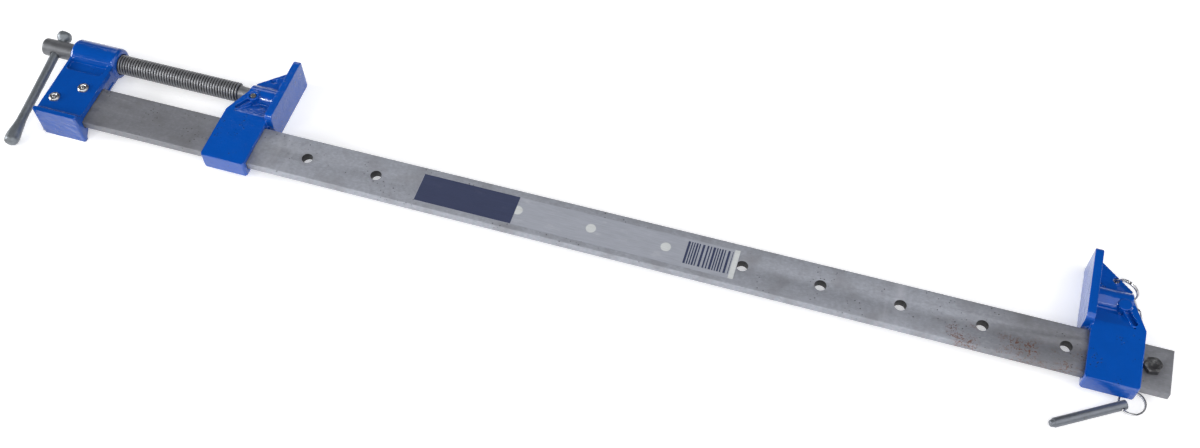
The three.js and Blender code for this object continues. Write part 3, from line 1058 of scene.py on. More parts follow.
def wire_loop(
    name: str, path: Sequence[tuple[float, float, float, float]], section: Profile, stand: Placement, loop: bool
) -> bpy.types.Object:
    """Sweeps a section along a path that lies near a placement's own plane.

    Args:
        name: the object's name.
        path: x, y, the heading of the outward side and the height above the plane, at each step.
        section: pairs of an outward and an upward distance from the path.
        stand: the placement.
        loop: whether the path closes on itself.

    Returns:
        The object.
    """
    rows = []
    for x, y, heading, high in path:
        rows.append([stand.at(x + u * math.cos(heading), y + u * math.sin(heading), high + v) for u, v in section])
    return grid(name, rows, loop)


def round_section(radius: float, sides: int) -> Outline:
    """Returns the section of round wire."""
    turns = [2 * math.pi * i / sides for i in range(sides)]
    return [(radius * math.cos(a), radius * math.sin(a)) for a in turns]


def flat_section(half_wide: float, half_high: float, corner: float) -> Outline:
    """Returns the section of flat wire with its corners taken off."""
    u, v, c = half_wide, half_high, corner
    return [(u, -v + c), (u, v - c), (u - c, v), (-u + c, v), (-u, v - c), (-u, -v + c), (-u + c, -v), (u - c, -v)]


@dataclass(frozen=True)
class ThreadForm:
    """A thread's sizes, how many turns it rises and fades over, and the shape of one ridge.

    The shape is given as pairs of a share of the pitch and a share of the depth.
    """

    pitch: float
    crest: float
    root: float
    sides: int = 40
    turns_in: float = 0.5
    turns_out: float = 1 / 1.2
    section: tuple[tuple[float, float], ...] = (
        (-0.5, -0.3), (-0.46, 0.0), (-0.41, 0.2), (-0.32, 0.68), (-0.22, 0.92), (-0.1, 1.0), (0.1, 1.0),
        (0.22, 0.92), (0.32, 0.68), (0.41, 0.2), (0.46, 0.0), (0.5, -0.3),
    )


def screw_ridge(name: str, stand: Placement, start: float, end: float, form: ThreadForm) -> bpy.types.Object:
    """Makes the helical ridge of a right-hand thread along a placement's z axis.

    Args:
        name: the object's name.
        stand: the placement.
        start: where the ridge starts along the axis.
        end: where it ends; it runs out to nothing over its last turn.
        form: the thread's sizes.

    Returns:
        The object.
    """
    turns = (end - start) / form.pitch
    steps = round(turns * form.sides)
    rows = []
    for i in range(steps + 1):
        turn = i / form.sides
        fade = min(1.0, turn / form.turns_in, (turns - turn) / form.turns_out)
        angle = 2 * math.pi * turn
        row = []
        for share, rise in form.section:
            radius = form.root + (form.crest - form.root) * max(rise * fade, rise if rise < 0 else 0)
            along = start + form.pitch * (turn + share)
            row.append(stand.at(radius * math.cos(angle), radius * math.sin(angle), along))
        rows.append(row)
    return grid(name, rows)


def joined(name: str, pieces: Sequence[bpy.types.Object]) -> bpy.types.Object:
    """Joins objects into one mesh.

    Args:
        name: the name of the whole.
        pieces: the objects; the first one stays.

    Returns:
        The first object, with the whole mesh.
    """
    work = bmesh.new()
    for piece in pieces:
        work.from_mesh(piece.data)
    mesh = bpy.data.meshes.new(name)
    work.to_mesh(mesh)
    work.free()
    for piece in pieces[1:]:
        bpy.data.objects.remove(piece)
    pieces[0].data = mesh
    pieces[0].name = name
    return pieces[0]


def dress(
    made: bpy.types.Object, finish: bpy.types.Material, slot: Slot, body: str, *nodes: str
) -> bpy.types.Object:
    """Gives a piece its finish and its body, and hides the nodes that it stands for.

    Args:
        made: the piece.
        finish: its material.
        slot: the record's slot that it takes its finish from; not used.
        body: the body that it rides on.
        nodes: the nodes that it replaces.

    Returns:
        The piece.
    """
    made.data.materials.clear()
    made.data.materials.append(finish)
    if nodes:
        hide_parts(*nodes)
    log.info("dressed %s", made.name)
    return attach(made, body)


def copy_of(node: str, name: str) -> bpy.types.Object:
    """Copies a node's shape and welds its split corners.

    Args:
        node: the node.
        name: the new object's name.

    Returns:
        The new object.
    """
    mesh = frame["nodes"][node].data.copy()
    work = bmesh.new()
    work.from_mesh(mesh)
    bmesh.ops.remove_doubles(work, verts=work.verts, dist=WELD)
    work.to_mesh(mesh)
    work.free()
    made = bpy.data.objects.new(name, mesh)
    bpy.context.scene.collection.objects.link(made)
    return made


@dataclass
class Casting:
    """What all three castings share: the as-cast rounding and the unevenness under the paint.

    `cheek` is how far the two sides of a casting's web stand from the bar's middle.
    """

    finish: bpy.types.Material
    voxel: float = 0.3 * MM
    rounding: int = 5
    softness: float = 0.5
    wave: float = 0.1 * MM
    wave_per_metre: float = 130.0
    pock: float = 0.05 * MM
    pock_per_metre: float = 620.0
    cheek: float = 6.875 * MM
    upright_round: float = 1.6 * MM
    upright_steps: int = 4
    upright_turn: float = 1.0
    overrun: float = 1 * MM

    def round_upright_edges(self, made: bpy.types.Object, y: float) -> None:
        """Rounds the two corners of the near wall that run up from the table.

        Args:
            made: the casting's sharp solid.
            y: where the wall is.
        """
        work = bmesh.new()
        work.from_mesh(made.data)
        upright = []
        for edge in work.edges:
            first, second = (vertex.co for vertex in edge.verts)
            lean = math.hypot(first.x - second.x, first.y - second.y)
            if lean < LEVEL and abs(first.y - y) < LEVEL and edge.calc_face_angle(0) > self.upright_turn:
                upright.append(edge)
        steps = self.upright_steps
        bmesh.ops.bevel(work, geom=upright, offset=self.upright_round, segments=steps, affect="EDGES", profile=0.5)
        work.to_mesh(made.data)
        work.free()

    def cast(self, made: bpy.types.Object) -> bpy.types.Object:
        """Gives a sharp solid the soft edges and the uneven skin of a casting.

        Args:
            made: the solid.

        Returns:
            The same object, cast.
        """
        remesh = made.modifiers.new("skin", "REMESH")
        remesh.mode = "VOXEL"
        remesh.voxel_size = self.voxel
        smooth = made.modifiers.new("round", "SMOOTH")
        smooth.factor = self.softness
        smooth.iterations = self.rounding
        bake(made)
        roughen(made, self.unevenness)
        return shade(made, angle=180.0)

    def unevenness(self, place: Vector, normal: Vector) -> float:
        """Finds how far the skin stands in or out; on the whole it lies below the solid's own surface.

        Args:
            place: the place on the skin.
            normal: the way that it faces, which doesn't matter.

        Returns:
            The distance.
        """
        broad = noise.noise(place * self.wave_per_metre) * self.wave
        fine = noise.noise(place * self.pock_per_metre) * self.pock
        return broad + fine - self.wave / 2


@dataclass
class HeadAssembly(Casting):
    """The fixed head, with its foot, pocket and boss, and the two rivets through it."""

    rivet_finish: bpy.types.Material | None = None
    bore_radius: float = 7.6 * MM
    foot_depth: float = 4.0 * MM
    foot_grain: float = 0.18 * MM
    foot_swirl: float = 210.0
    foot_stretch: tuple[float, float] = (0.8, 2.2)
    foot_lift: float = 0.6
    foot_facing: float = 0.8
    pocket_deep: float = 2.8 * MM
    pocket_ends: tuple[float, float] = (3.0 * MM, 5.3 * MM)
    pocket_rise: tuple[float, float] = (7.3 * MM, 22.0 * MM)
    pocket_corner: float = 3.0 * MM
    boss_radius: float = 11.2 * MM
    boss_sides: int = 96
    side_in: float = 1.4 * MM
    side_flare: float = 1.1 * MM
    side_low: float = 3.6 * MM
    side_far: float = 12.0 * MM
    side_top: float = 0.3 * MM
    rivet_sides: int = 40
    rivet_shank: float = 0.75
    rivet_high: float = 1.7 * MM
    rivet_rim: float = 0.6
    rivet_dents: float = 400.0
    rivet_dent: float = 0.04 * MM
    rivet_dome: Profile = (
        (0.6, 1.0), (0.66, 0.99), (0.76, 0.95), (0.86, 0.88), (0.94, 0.79), (0.99, 0.68), (1.0, 0.59),
        (0.97, 0.51), (0.88, 0.44), (0.82, 0.38), (0.84, 0.31), (0.9, 0.24), (0.93, 0.14), (0.93, 0.03),
    )

    def foot_skin(self, foot_end: float) -> Depth:
        """Finds the rough sweep marks on the foot's outer face.

        Args:
            foot_end: where the foot ends, in y.

        Returns:
            A function that gives the depth of the marks.
        """
        across, up = self.foot_stretch

        def depth(place: Vector, normal: Vector) -> float:
            """Gives the depth of the marks at one place.

            Args:
                place: the place on the head.
                normal: the way that the head faces there.

            Returns:
                How far the skin moves out.
            """
            if normal.y > -self.foot_facing or place.y > foot_end:
                return 0.0
            swirl = Vector((place.x * across, place.z * up, place.z + place.x))
            return (noise.noise(swirl * self.foot_swirl) - self.foot_lift) * self.foot_grain

        return depth

    def build(self) -> None:
        """Builds the head and its rivets."""
        low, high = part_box("head_casting")
        made = copy_of("head_casting", "head")
        self.round_upright_edges(made, low.y)
        screw_y = frame_joint("screw_turn").y
        stand = Placement.lengthwise((low.x, screw_y, (low.z + high.z) / 2))
        length = high.x - low.x
        bore = turned(
            "bore", ((-self.overrun, self.bore_radius), (length + self.overrun, self.bore_radius)), stand
        )
        combine(made, bore, Cut.DIFFERENCE)
        self.flared_side(made, low, high)
        self.pockets(made, low, high)
        self.cast(made)
        roughen(made, self.foot_skin(low.y + self.foot_depth))
        dress(made, self.finish, Slot.ENAMEL, "root", "head_casting")
        for node in ("rivet_near", "rivet_far"):
            self.rivet(node)

    def pockets(self, made: bpy.types.Object, low: Vector, high: Vector) -> None:
        """Deepens the pocket beside the boss, on both sides, as far as the boss's own round.

        Args:
            made: the head's solid.
            low: its lowest corner.
            high: its highest corner.
        """
        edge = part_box("bar")[1].y
        left, right = self.pocket_ends
        bottom, top = (edge + rise for rise in self.pocket_rise)
        outline = round_cornered((low.x + left, bottom), (high.x - right, top), self.pocket_corner)
        middle = (low.z + high.z) / 2
        axis = Placement.lengthwise((low.x, frame_joint("screw_turn").y, middle))
        for side in (1, -1):
            near, far = sorted((side * (self.cheek - self.pocket_deep), side * (self.cheek + self.overrun)))
            tool = prism("pocket", outline, near, far, Placement.upright((0, 0, middle)))
            boss = turned("boss", ((0, self.boss_radius), (high.x - low.x, self.boss_radius)), axis, self.boss_sides)
            combine(made, combine(tool, boss, Cut.DIFFERENCE), Cut.DIFFERENCE)

    def flared_side(self, made: bpy.types.Object, low: Vector, high: Vector) -> None:
        """Slopes the side that faces the jaw outwards, down to the slot for the bar, above and below it.

        Args:
            made: the head's solid.
            low: its lowest corner.
            high: its highest corner.
        """
        middle = (low.z + high.z) / 2
        start, end = low.y + self.foot_depth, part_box("bar")[1].y + self.side_far
        origin = Vector((high.x - self.side_in, 0, middle))
        stand = Placement(origin, Vector((1, 0, 0)), Vector((0, 0, 1)), Vector((0, -1, 0)))
        for side in (1, -1):
            low_z, high_z = side * self.side_low, side * (self.cheek - self.side_top)
            inner = -self.overrun
            outline = ((inner, low_z), (self.side_flare, low_z), (0, high_z), (inner, high_z))
            combine(made, prism("flare", outline, -end, -start, stand), Cut.UNION)

    def rivet(self, node: str) -> None:
        """Builds one rivet, with a flattened dome and a dished middle where it was closed.

        Args:
            node: the rivet's node.
        """
        low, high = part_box(node)
        middle = (low + high) / 2
        radius = (high.x - low.x) / 2
        half = (high.z - low.z) / 2
        shank = radius * self.rivet_shank
        seat = half - self.rivet_high
        rise = self.rivet_high / (1 - self.rivet_rim)
        upper = [(seat + rise * (share - self.rivet_rim), radius * wide) for share, wide in self.rivet_dome]
        profile = [(-along, wide) for along, wide in reversed(upper)]
        profile += [(-seat, shank), (seat, shank)] + upper
        made = turned(node.replace("_", "-"), profile, Placement.upright(middle), self.rivet_sides)
        roughen(made, end_dents(self.rivet_dents, self.rivet_dent))
        dress(shade(made, angle=50.0), self.rivet_finish, Slot.BRIGHT_STEEL, "root", node)


@dataclass
class JawCasting(Casting):
    """The casting of a jaw: either the sliding jaw, which faces the tail, or the tail shoe, which faces the screw."""

    node: str = "sliding_jaw"
    body: str = "jaw"
    facing: int = 1
    groove_from: tuple[float, float] = (25.2 * MM, 17.0 * MM)
    groove_to: tuple[float, float] = (30.0 * MM, 10.1 * MM)
    groove_wall: float = 2.9 * MM
    groove_radius: float = 1.75 * MM
    groove_floor: float = 3.6 * MM
    plate_low: float = 2.7 * MM
    plate_thick: float = 5.5 * MM
    corner: float = 4.2 * MM
    corner_steps: int = 8
    hollow_sides: int = 32

    def build(self) -> None:
        """Builds the casting, with the ribbed groove beside its boss on both sides."""
        low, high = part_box(self.node)
        face = high.x if self.facing > 0 else low.x
        middle = (low.z + high.z) / 2
        made = copy_of(self.node, self.node.replace("_", "-"))
        self.round_upright_edges(made, low.y)
        start, end = (self.spot(face, point) for point in (self.groove_from, self.groove_to))
        stand = Placement.upright((0, 0, middle))
        wall = prism("wall", capsule(start, end, self.groove_wall), -self.cheek, self.cheek, stand)
        combine(made, wall, Cut.UNION)
        for side in (1, -1):
            near, far = sorted((side * self.groove_floor, side * (self.cheek + self.overrun)))
            groove = prism("groove", capsule(start, end, self.groove_radius), near, far, stand)
            combine(made, groove, Cut.DIFFERENCE)
        self.round_plate(made, face, low, high)
        sides = self.hollow_sides
        for x, y, radius, floor in self.hollows(face):
            for side in (1, -1):
                near, far = sorted((side * floor, side * (high.z - middle)))
                hollow = turned("hollow", ((near, radius), (far, radius)), Placement.upright((x, y, middle)), sides)
                combine(made, hollow, Cut.DIFFERENCE)
        dress(self.cast(made), self.finish, Slot.ENAMEL, self.body, self.node)

    def hollows(self, face: float) -> Hollows:
        """Returns small round hollows: x, y, radius, and the height of the floor above the middle."""
        return ()

    def round_plate(self, made: bpy.types.Object, face: float, low: Vector, high: Vector) -> None:
        """Rounds the four corners of the jaw plate, seen along the bar.

        Args:
            made: the jaw's solid.
            face: where the jaw's face is, in x.
            low: the solid's lowest corner.
            high: its highest corner.
        """
        stand = Placement(Vector((face, 0, 0)), Vector((0, 1, 0)), Vector((0, 0, 1)), Vector((1, 0, 0)))
        start, end = sorted((self.facing * self.overrun, -self.facing * (self.plate_thick + self.overrun / 2)))
        for y, way_y in ((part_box("bar")[1].y + self.plate_low, -1), (high.y, 1)):
            for z, way_z in ((low.z, -1), (high.z, 1)):
                middle_y, middle_z = y - way_y * self.corner, z - way_z * self.corner
                outer_y, outer_z = y + way_y * self.overrun, z + way_z * self.overrun
                outline = [(outer_y, outer_z), (middle_y, outer_z)]
                for i in range(self.corner_steps + 1):
                    angle = math.pi / 2 * (1 - i / self.corner_steps)
                    out, up = self.corner * math.cos(angle), self.corner * math.sin(angle)
                    outline.append((middle_y + way_y * out, middle_z + way_z * up))
                outline.append((outer_y, middle_z))
                combine(made, prism("corner", outline, start, end, stand), Cut.DIFFERENCE)

    def spot(self, face: float, point: tuple[float, float]) -> Vector:
        """Returns a point given behind the jaw face and beyond the bar's far edge, in the model's x and y."""
        behind, beyond = point
        return Vector((face - self.facing * behind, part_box("bar")[1].y + beyond))


@dataclass
class SlidingJaw(JawCasting):
    """The sliding jaw, with a dimple in its rib and a sunk rim round its pin."""

    dimple: tuple[float, float] = (17.0 * MM, 41.4 * MM)
    dimple_radius: float = 2.3 * MM
    dimple_floor: float = 1.5 * MM
    sunk_radius: float = 2.75 * MM
    sunk_deep: float = 0.9 * MM

    def hollows(self, face: float) -> Hollows:
        """Gives the dimple and the sunk rim.

        Args:
            face: where the jaw's face is, in x.

        Returns:
            For each, x, y, radius, and the height of its floor above the middle.
        """
        rib = self.spot(face, self.dimple)
        low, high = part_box("retaining_pin")
        pin = (low + high) / 2
        floor = (high.z - low.z) / 2 - self.sunk_deep
        return (rib.x, rib.y, self.dimple_radius, self.dimple_floor), (pin.x, pin.y, self.sunk_radius, floor)


@dataclass
class Bar:
    """The flat bar with its row of holes."""

    pitch: float = 50.8 * MM
    holes: int = 11
    hole_radius: float = 3.85 * MM
    bolt_radius: float = 3.3 * MM
    rivet_radius: float = 3.4 * MM
    edge: float = 0.75 * MM
    edge_steps: int = 5
    rim: float = 0.22 * MM
    rim_steps: int = 2
    rim_angle: float = 60.0

    def build(self) -> None:
        """Builds the bar."""
        low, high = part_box("bar")
        middle = (low + high) / 2
        size = high - low
        outline = [(sx * size.x / 2, sy * size.y / 2) for sx, sy in ((-1, -1), (1, -1), (1, 1), (-1, 1))]
        made = prism("drilled_bar", outline, -size.z / 2, size.z / 2, Placement.upright(middle))
        self.round_long_edges(made)
        spots = [(FIRST_HOLE + i * self.pitch, middle.y, self.hole_radius) for i in range(self.holes)]
        spots.append((FIRST_HOLE + self.holes * self.pitch, middle.y, self.bolt_radius))
        for node in ("rivet_near", "rivet_far"):
            near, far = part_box(node)
            spots.append(((near.x + far.x) / 2, (near.y + far.y) / 2, self.rivet_radius))
        for x, y, radius in spots:
            drill = turned("drill", ((-size.z, radius), (size.z, radius)), Placement.upright((x, y, middle.z)))
            combine(made, drill, Cut.DIFFERENCE)
        ease_edges(made, self.rim, self.rim_steps, self.rim_angle)
        finish = MillSteel(middle.y, self.hole_radius).build()
        dress(shade(made, angle=30.0), finish, Slot.MILL_STEEL, "root", "bar")

    def round_long_edges(self, made: bpy.types.Object) -> None:
        """Rounds the bar's four long edges, which the rolling mill leaves soft.

        Args:
            made: the bar.
        """
        work = bmesh.new()
        work.from_mesh(made.data)
        long = [e for e in work.edges if abs(e.verts[0].co.x - e.verts[1].co.x) > self.pitch]
        bmesh.ops.bevel(work, geom=long, offset=self.edge, segments=self.edge_steps, affect="EDGES", profile=0.5)
        work.to_mesh(made.data)
        work.free()


@dataclass
class PrintedFilm:
    """The film on the bar: a dark block, plain clear film, pale spots of painted light over the holes and a striped
    patch.
    """

    clear: bpy.types.Material
    ink: bpy.types.Material
    pale: bpy.types.Material
    block: tuple[float, float] = (0.4 * MM, 68.6 * MM)
    block_inset: float = 0.1 * MM
    spots: tuple[float, ...] = (152.4 * MM, 203.2 * MM, 254.0 * MM)
    spot_radius: float = 3.4 * MM
    spot_sides: int = 32
    stripes_from: float = 267.3 * MM
    stripes_to: float = 297.2 * MM
    stripes_low: float = 2.9 * MM
    stripes_high: float = 20.3 * MM
    stripe_widths: tuple[float, ...] = (1.5, 0.8, 0.8, 1.1, 0.8, 1.5, 1.1, 0.8)
    gap_step: int = 3
    strip: tuple[float, float] = (297.9 * MM, 301.3 * MM)
    patch_high: float = 0.03 * MM
    spot_high: float = 0.015 * MM

    def build(self) -> None:
        """Builds the film, its printed patches and the pale spots of painted light over the holes."""
        film = copy_of("label", "clear_film_strip")
        film.data.shade_flat()
        dress(film, self.clear, Slot.PRINTED_FILM, "root", "label")
        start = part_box("label")[0].x - FIRST_HOLE
        self.patch("dark_block", start + self.block[0], start + self.block[1], self.block_inset, self.ink)
        self.patch("end_strip", self.strip[0], self.strip[1], 0, self.pale)
        # pale spots: painted light of the table seen through the film over the holes
        for i, x in enumerate(self.spots, 1):
            self.spot(f"see_through_spot_{i}", x)
        self.stripes()

    def patch(self, name: str, start: float, end: float, inset: float, look: bpy.types.Material) -> None:
        """Lays a printed rectangle over the width of the film.

        Args:
            name: the patch's name.
            start: where it starts along the bar, from the first hole.
            end: where it ends.
            inset: how far it stays from the film's long edges.
            look: its material.
        """
        low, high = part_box("label")
        self.rectangle(name, (start, low.y + inset), (end, high.y - inset), look)

    def rectangle(
        self, name: str, low: tuple[float, float], high: tuple[float, float], look: bpy.types.Material
    ) -> None:
        """Lays a printed rectangle on the film.

        Args:
            name: the rectangle's name.
            low: its lowest corner: along the bar from the first hole, and y.
            high: its highest corner.
            look: its material.
        """
        start, end = FIRST_HOLE + low[0], FIRST_HOLE + high[0]
        outline = ((start, low[1]), (end, low[1]), (end, high[1]), (start, high[1]))
        self.lay(name, outline, look, self.patch_high)

    def lay(self, name: str, outline: Profile, look: bpy.types.Material, thick: float) -> None:
        """Lays a thin shape on the film: a printed patch, or a spot of painted light over a hole.

        Args:
            name: the shape's name.
            outline: its outline in x and y.
            look: its material.
            thick: how thick it is.
        """
        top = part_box("label")[1].z
        made = prism(name, outline, SEAM, SEAM + thick, Placement.upright((0, 0, top)))
        dress(made, look, Slot.PRINTED_FILM, "root")

    def spot(self, name: str, x: float) -> None:
        """Lays a pale round spot where the film covers a hole: painted light of the table seen through the film.

        Args:
            name: the spot's name.
            x: where the hole is along the bar, from the first hole.
        """
        middle_y = (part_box("bar")[0].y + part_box("bar")[1].y) / 2
        middle_x = FIRST_HOLE + x
        ring = [(middle_x + out, middle_y + up) for out, up in round_section(self.spot_radius, self.spot_sides)]
        self.lay(name, ring, self.pale, self.spot_high)

    def stripes(self) -> None:
        """Lays the striped patch: bars in a plain repeating order."""
        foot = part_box("label")[0].y
        widths = self.stripe_widths
        x, i = self.stripes_from, 0
        while x < self.stripes_to:
            end = min(x + widths[i % len(widths)] * MM, self.stripes_to)
            low, high = (x, foot + self.stripes_low), (end, foot + self.stripes_high)
            self.rectangle(f"stripe_{i + 1}", low, high, self.ink)
            x = end + widths[(i * self.gap_step + 1) % len(widths)] * MM
            i += 1


@dataclass
class ScrewAssembly:
    """The screw and its tommy bar.

    The three profiles of the tommy bar are pairs of a height in millimetres and a share of the greatest radius. The
    swell's heights count up from the low end, the collar's up from the knob's foot and the knob's down from its top.
    """

    handle_finish: bpy.types.Material
    head_radius: float = 6.3 * MM
    head_long: float = 26.1 * MM
    cross_back: float = 10.2 * MM
    head_round: float = 1.6 * MM
    centre_radius: float = 0.4 * MM
    root_relief: float = 0.05 * MM
    tip_edge: float = 1.3 * MM
    sides: int = 64
    drill_sides: int = 32
    thread: ThreadForm = ThreadForm(pitch=25.4 / 12 * MM, crest=7.1 * MM, root=5.6 * MM)
    # shares of the thread's depth where its painted root shade is full and where it is gone
    root_shade_rise: tuple[float, float] = (0.3, 0.82)
    neck_radius: float = 5.0 * MM
    cone: float = 2.6 * MM
    neck_long: float = 9.0 * MM
    socket_deep: float = 17.4 * MM
    groove_radius: float = 3.0 * MM
    groove_half: float = 2.25 * MM
    rod_radius: float = 3.2 * MM
    rod_hole: float = 3.8 * MM
    reach: float = 81.4 * MM
    swell_radius: float = 5.2 * MM
    swell_long: float = 26.0 * MM
    knob_radius: float = 5.5 * MM
    knob_high: float = 8.0 * MM
    seat: float = 0.3 * MM
    rod_sides: int = 40
    rod_step: float = 1.6 * MM
    end_high: float = 3.0 * MM
    swell_profile: Profile = (
        (0.3, 0.55), (1.4, 0.83), (3.0, 0.97), (5.0, 1.0), (8.5, 0.97), (14.0, 0.84), (19.0, 0.71),
    )
    swell_tip: float = 0.7 * MM
    plain_from: tuple[float, float] = (2.0 * MM, 20.0 * MM)
    plain_to: float = -9.0 * MM
    collar_high: float = 0.5 * MM
    collar_wide: float = 1.12
    collar_profile: Profile = ((2.4, 0.9), (3.6, 1.0))
    knob_profile: Profile = ((2.6, 1.0), (1.2, 0.92), (0.35, 0.74), (0.0, 0.45))
    knob_tip: float = 0.5 * MM
    marks: tuple[float, float] = (230.0, 520.0)
    mark_lift: float = 0.7
    mark_deep: float = 0.3 * MM
    mark_between: float = 0.3

    def build(self) -> None:
        """Builds the screw, then the tommy bar."""
        low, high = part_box("screw")
        y, z = frame_joint("screw_turn").yz
        stand = Placement.lengthwise((low.x, y, z))
        total = high.x - low.x
        self.screw(stand, total)
        self.tommy_bar()

    def crossing(self) -> Placement:
        """Returns the place where the tommy bar crosses the screw's axis, with z along the tommy bar."""
        _, y, z = frame_joint("screw_turn")
        return Placement.lengthwise((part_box("screw")[0].x + self.cross_back, y, z), frame_axis("handle_slide"))

    def screw(self, stand: Placement, total: float) -> None:
        """Builds the screw from its head.

        Args:
            stand: the placement of the head's end.
            total: the screw's length.
        """
        r = self.head_radius
        thread_end = total - self.socket_deep - self.neck_long
        groove = frame_joint("screw_turn").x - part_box("screw")[0].x
        root = self.thread.root - self.root_relief
        sharp = ((0, self.centre_radius), (0, r), (self.head_long, r), (self.head_long, root))
        body = filleted(sharp, self.head_round) + [(thread_end, root), (thread_end + self.cone, self.neck_radius)]
        body += [(groove - self.groove_half, self.neck_radius), (groove - self.groove_half, self.groove_radius)]
        body += [(groove + self.groove_half, self.groove_radius), (groove + self.groove_half, self.neck_radius)]
        body += [(total - self.tip_edge, self.neck_radius), (total, self.neck_radius - self.tip_edge)]
        core = turned("core", body, stand, self.sides)
        hole = self.crossing()
        through = 3 * r
        drill = turned("drill", ((-through, self.rod_hole), (through, self.rod_hole)), hole, self.drill_sides)
        combine(core, drill, Cut.DIFFERENCE)
        start = self.head_long + self.thread.pitch / 2
        ridge = screw_ridge("ridge", stand, start, thread_end, self.thread)
        made = joined("lead_screw", [core, ridge])
        deep = self.thread.crest - self.thread.root
        # radii where the thread's painted root shade is full and where it is gone
        low, high = (self.thread.root + share * deep for share in self.root_shade_rise)
        middle = stand.middle
        finish = CutThread((middle.y, middle.z), middle.x + self.head_long, middle.x + thread_end, low, high)
        dress(shade(made, angle=32.0), finish.build(), Slot.FORGED_STEEL, "screw", "screw")

    def tommy_bar(self) -> None:
        """Builds the tommy bar: an upset knob at the top and a hammered swell at the bottom."""
        stand = self.crossing()
        under = self.head_radius + self.seat
        top = under + self.knob_high
        swell = -self.reach + self.swell_long
        r, k, s = self.rod_radius, self.knob_radius, self.swell_radius
        low = -self.reach - self.end_high
        profile = [(low, self.swell_tip)] + [(low + up * MM, s * wide) for up, wide in self.swell_profile]
        profile += [(swell + up, r) for up in self.plain_from] + [(self.plain_to, r), (under, r)]
        profile += [(under + self.collar_high, r * self.collar_wide)]
        profile += [(under + up * MM, k * wide) for up, wide in self.collar_profile]
        profile += [(top - down * MM, k * wide) for down, wide in self.knob_profile] + [(top, self.knob_tip)]
        made = turned("handle_rod", densified(profile, self.rod_step), stand, self.rod_sides)
        roughen(made, self.hammering(stand))
        dress(shade(made, angle=60.0), self.handle_finish, Slot.FORGED_STEEL, "handle", "tommy_bar")

    def hammering(self, stand: Placement) -> Depth:
        """Finds the hammer marks, which are deeper towards both ends.

        Args:
            stand: the placement of the tommy bar.

        Returns:
            A function that gives the depth of the marks.
        """
        broad, fine = self.marks

        def depth(place: Vector, normal: Vector) -> float:
            """Gives the depth of the marks at one place.

            Args:
                place: the place on the tommy bar.
                normal: the way that it faces there, which doesn't matter.

            Returns:
                How far the skin moves out.
            """
            along = (place - stand.middle).dot(stand.z)
            at_ends = along > 0 or along < -self.reach + self.swell_long
            marks = noise.noise(place * broad) + noise.noise(place * fine) / 2
            return (marks - self.mark_lift) * self.mark_deep * (1.0 if at_ends else self.mark_between)

        return depth


@dataclass
class RetainingPin:
    """The pin that keeps the screw in the sliding jaw, with its ends slightly spread."""

    finish: bpy.types.Material
    edge: float = 0.45 * MM
    middle_radius: float = 0.3 * MM
    sides: int = 32
    dents: float = 900.0
    dent: float = 0.12 * MM

    def build(self) -> None:
        """Builds the pin."""
        low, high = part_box("retaining_pin")
        radius, half = (high.x - low.x) / 2, (high.z - low.z) / 2
        inner = self.middle_radius
        profile = filleted(((-half, inner), (-half, radius), (half, radius), (half, inner)), self.edge)
        made = turned("jaw_pin", profile, Placement.upright((low + high) / 2), self.sides)
        roughen(made, end_dents(self.dents, self.dent))
        dress(shade(made, angle=50.0), self.finish, Slot.BRIGHT_STEEL, "jaw", "retaining_pin")


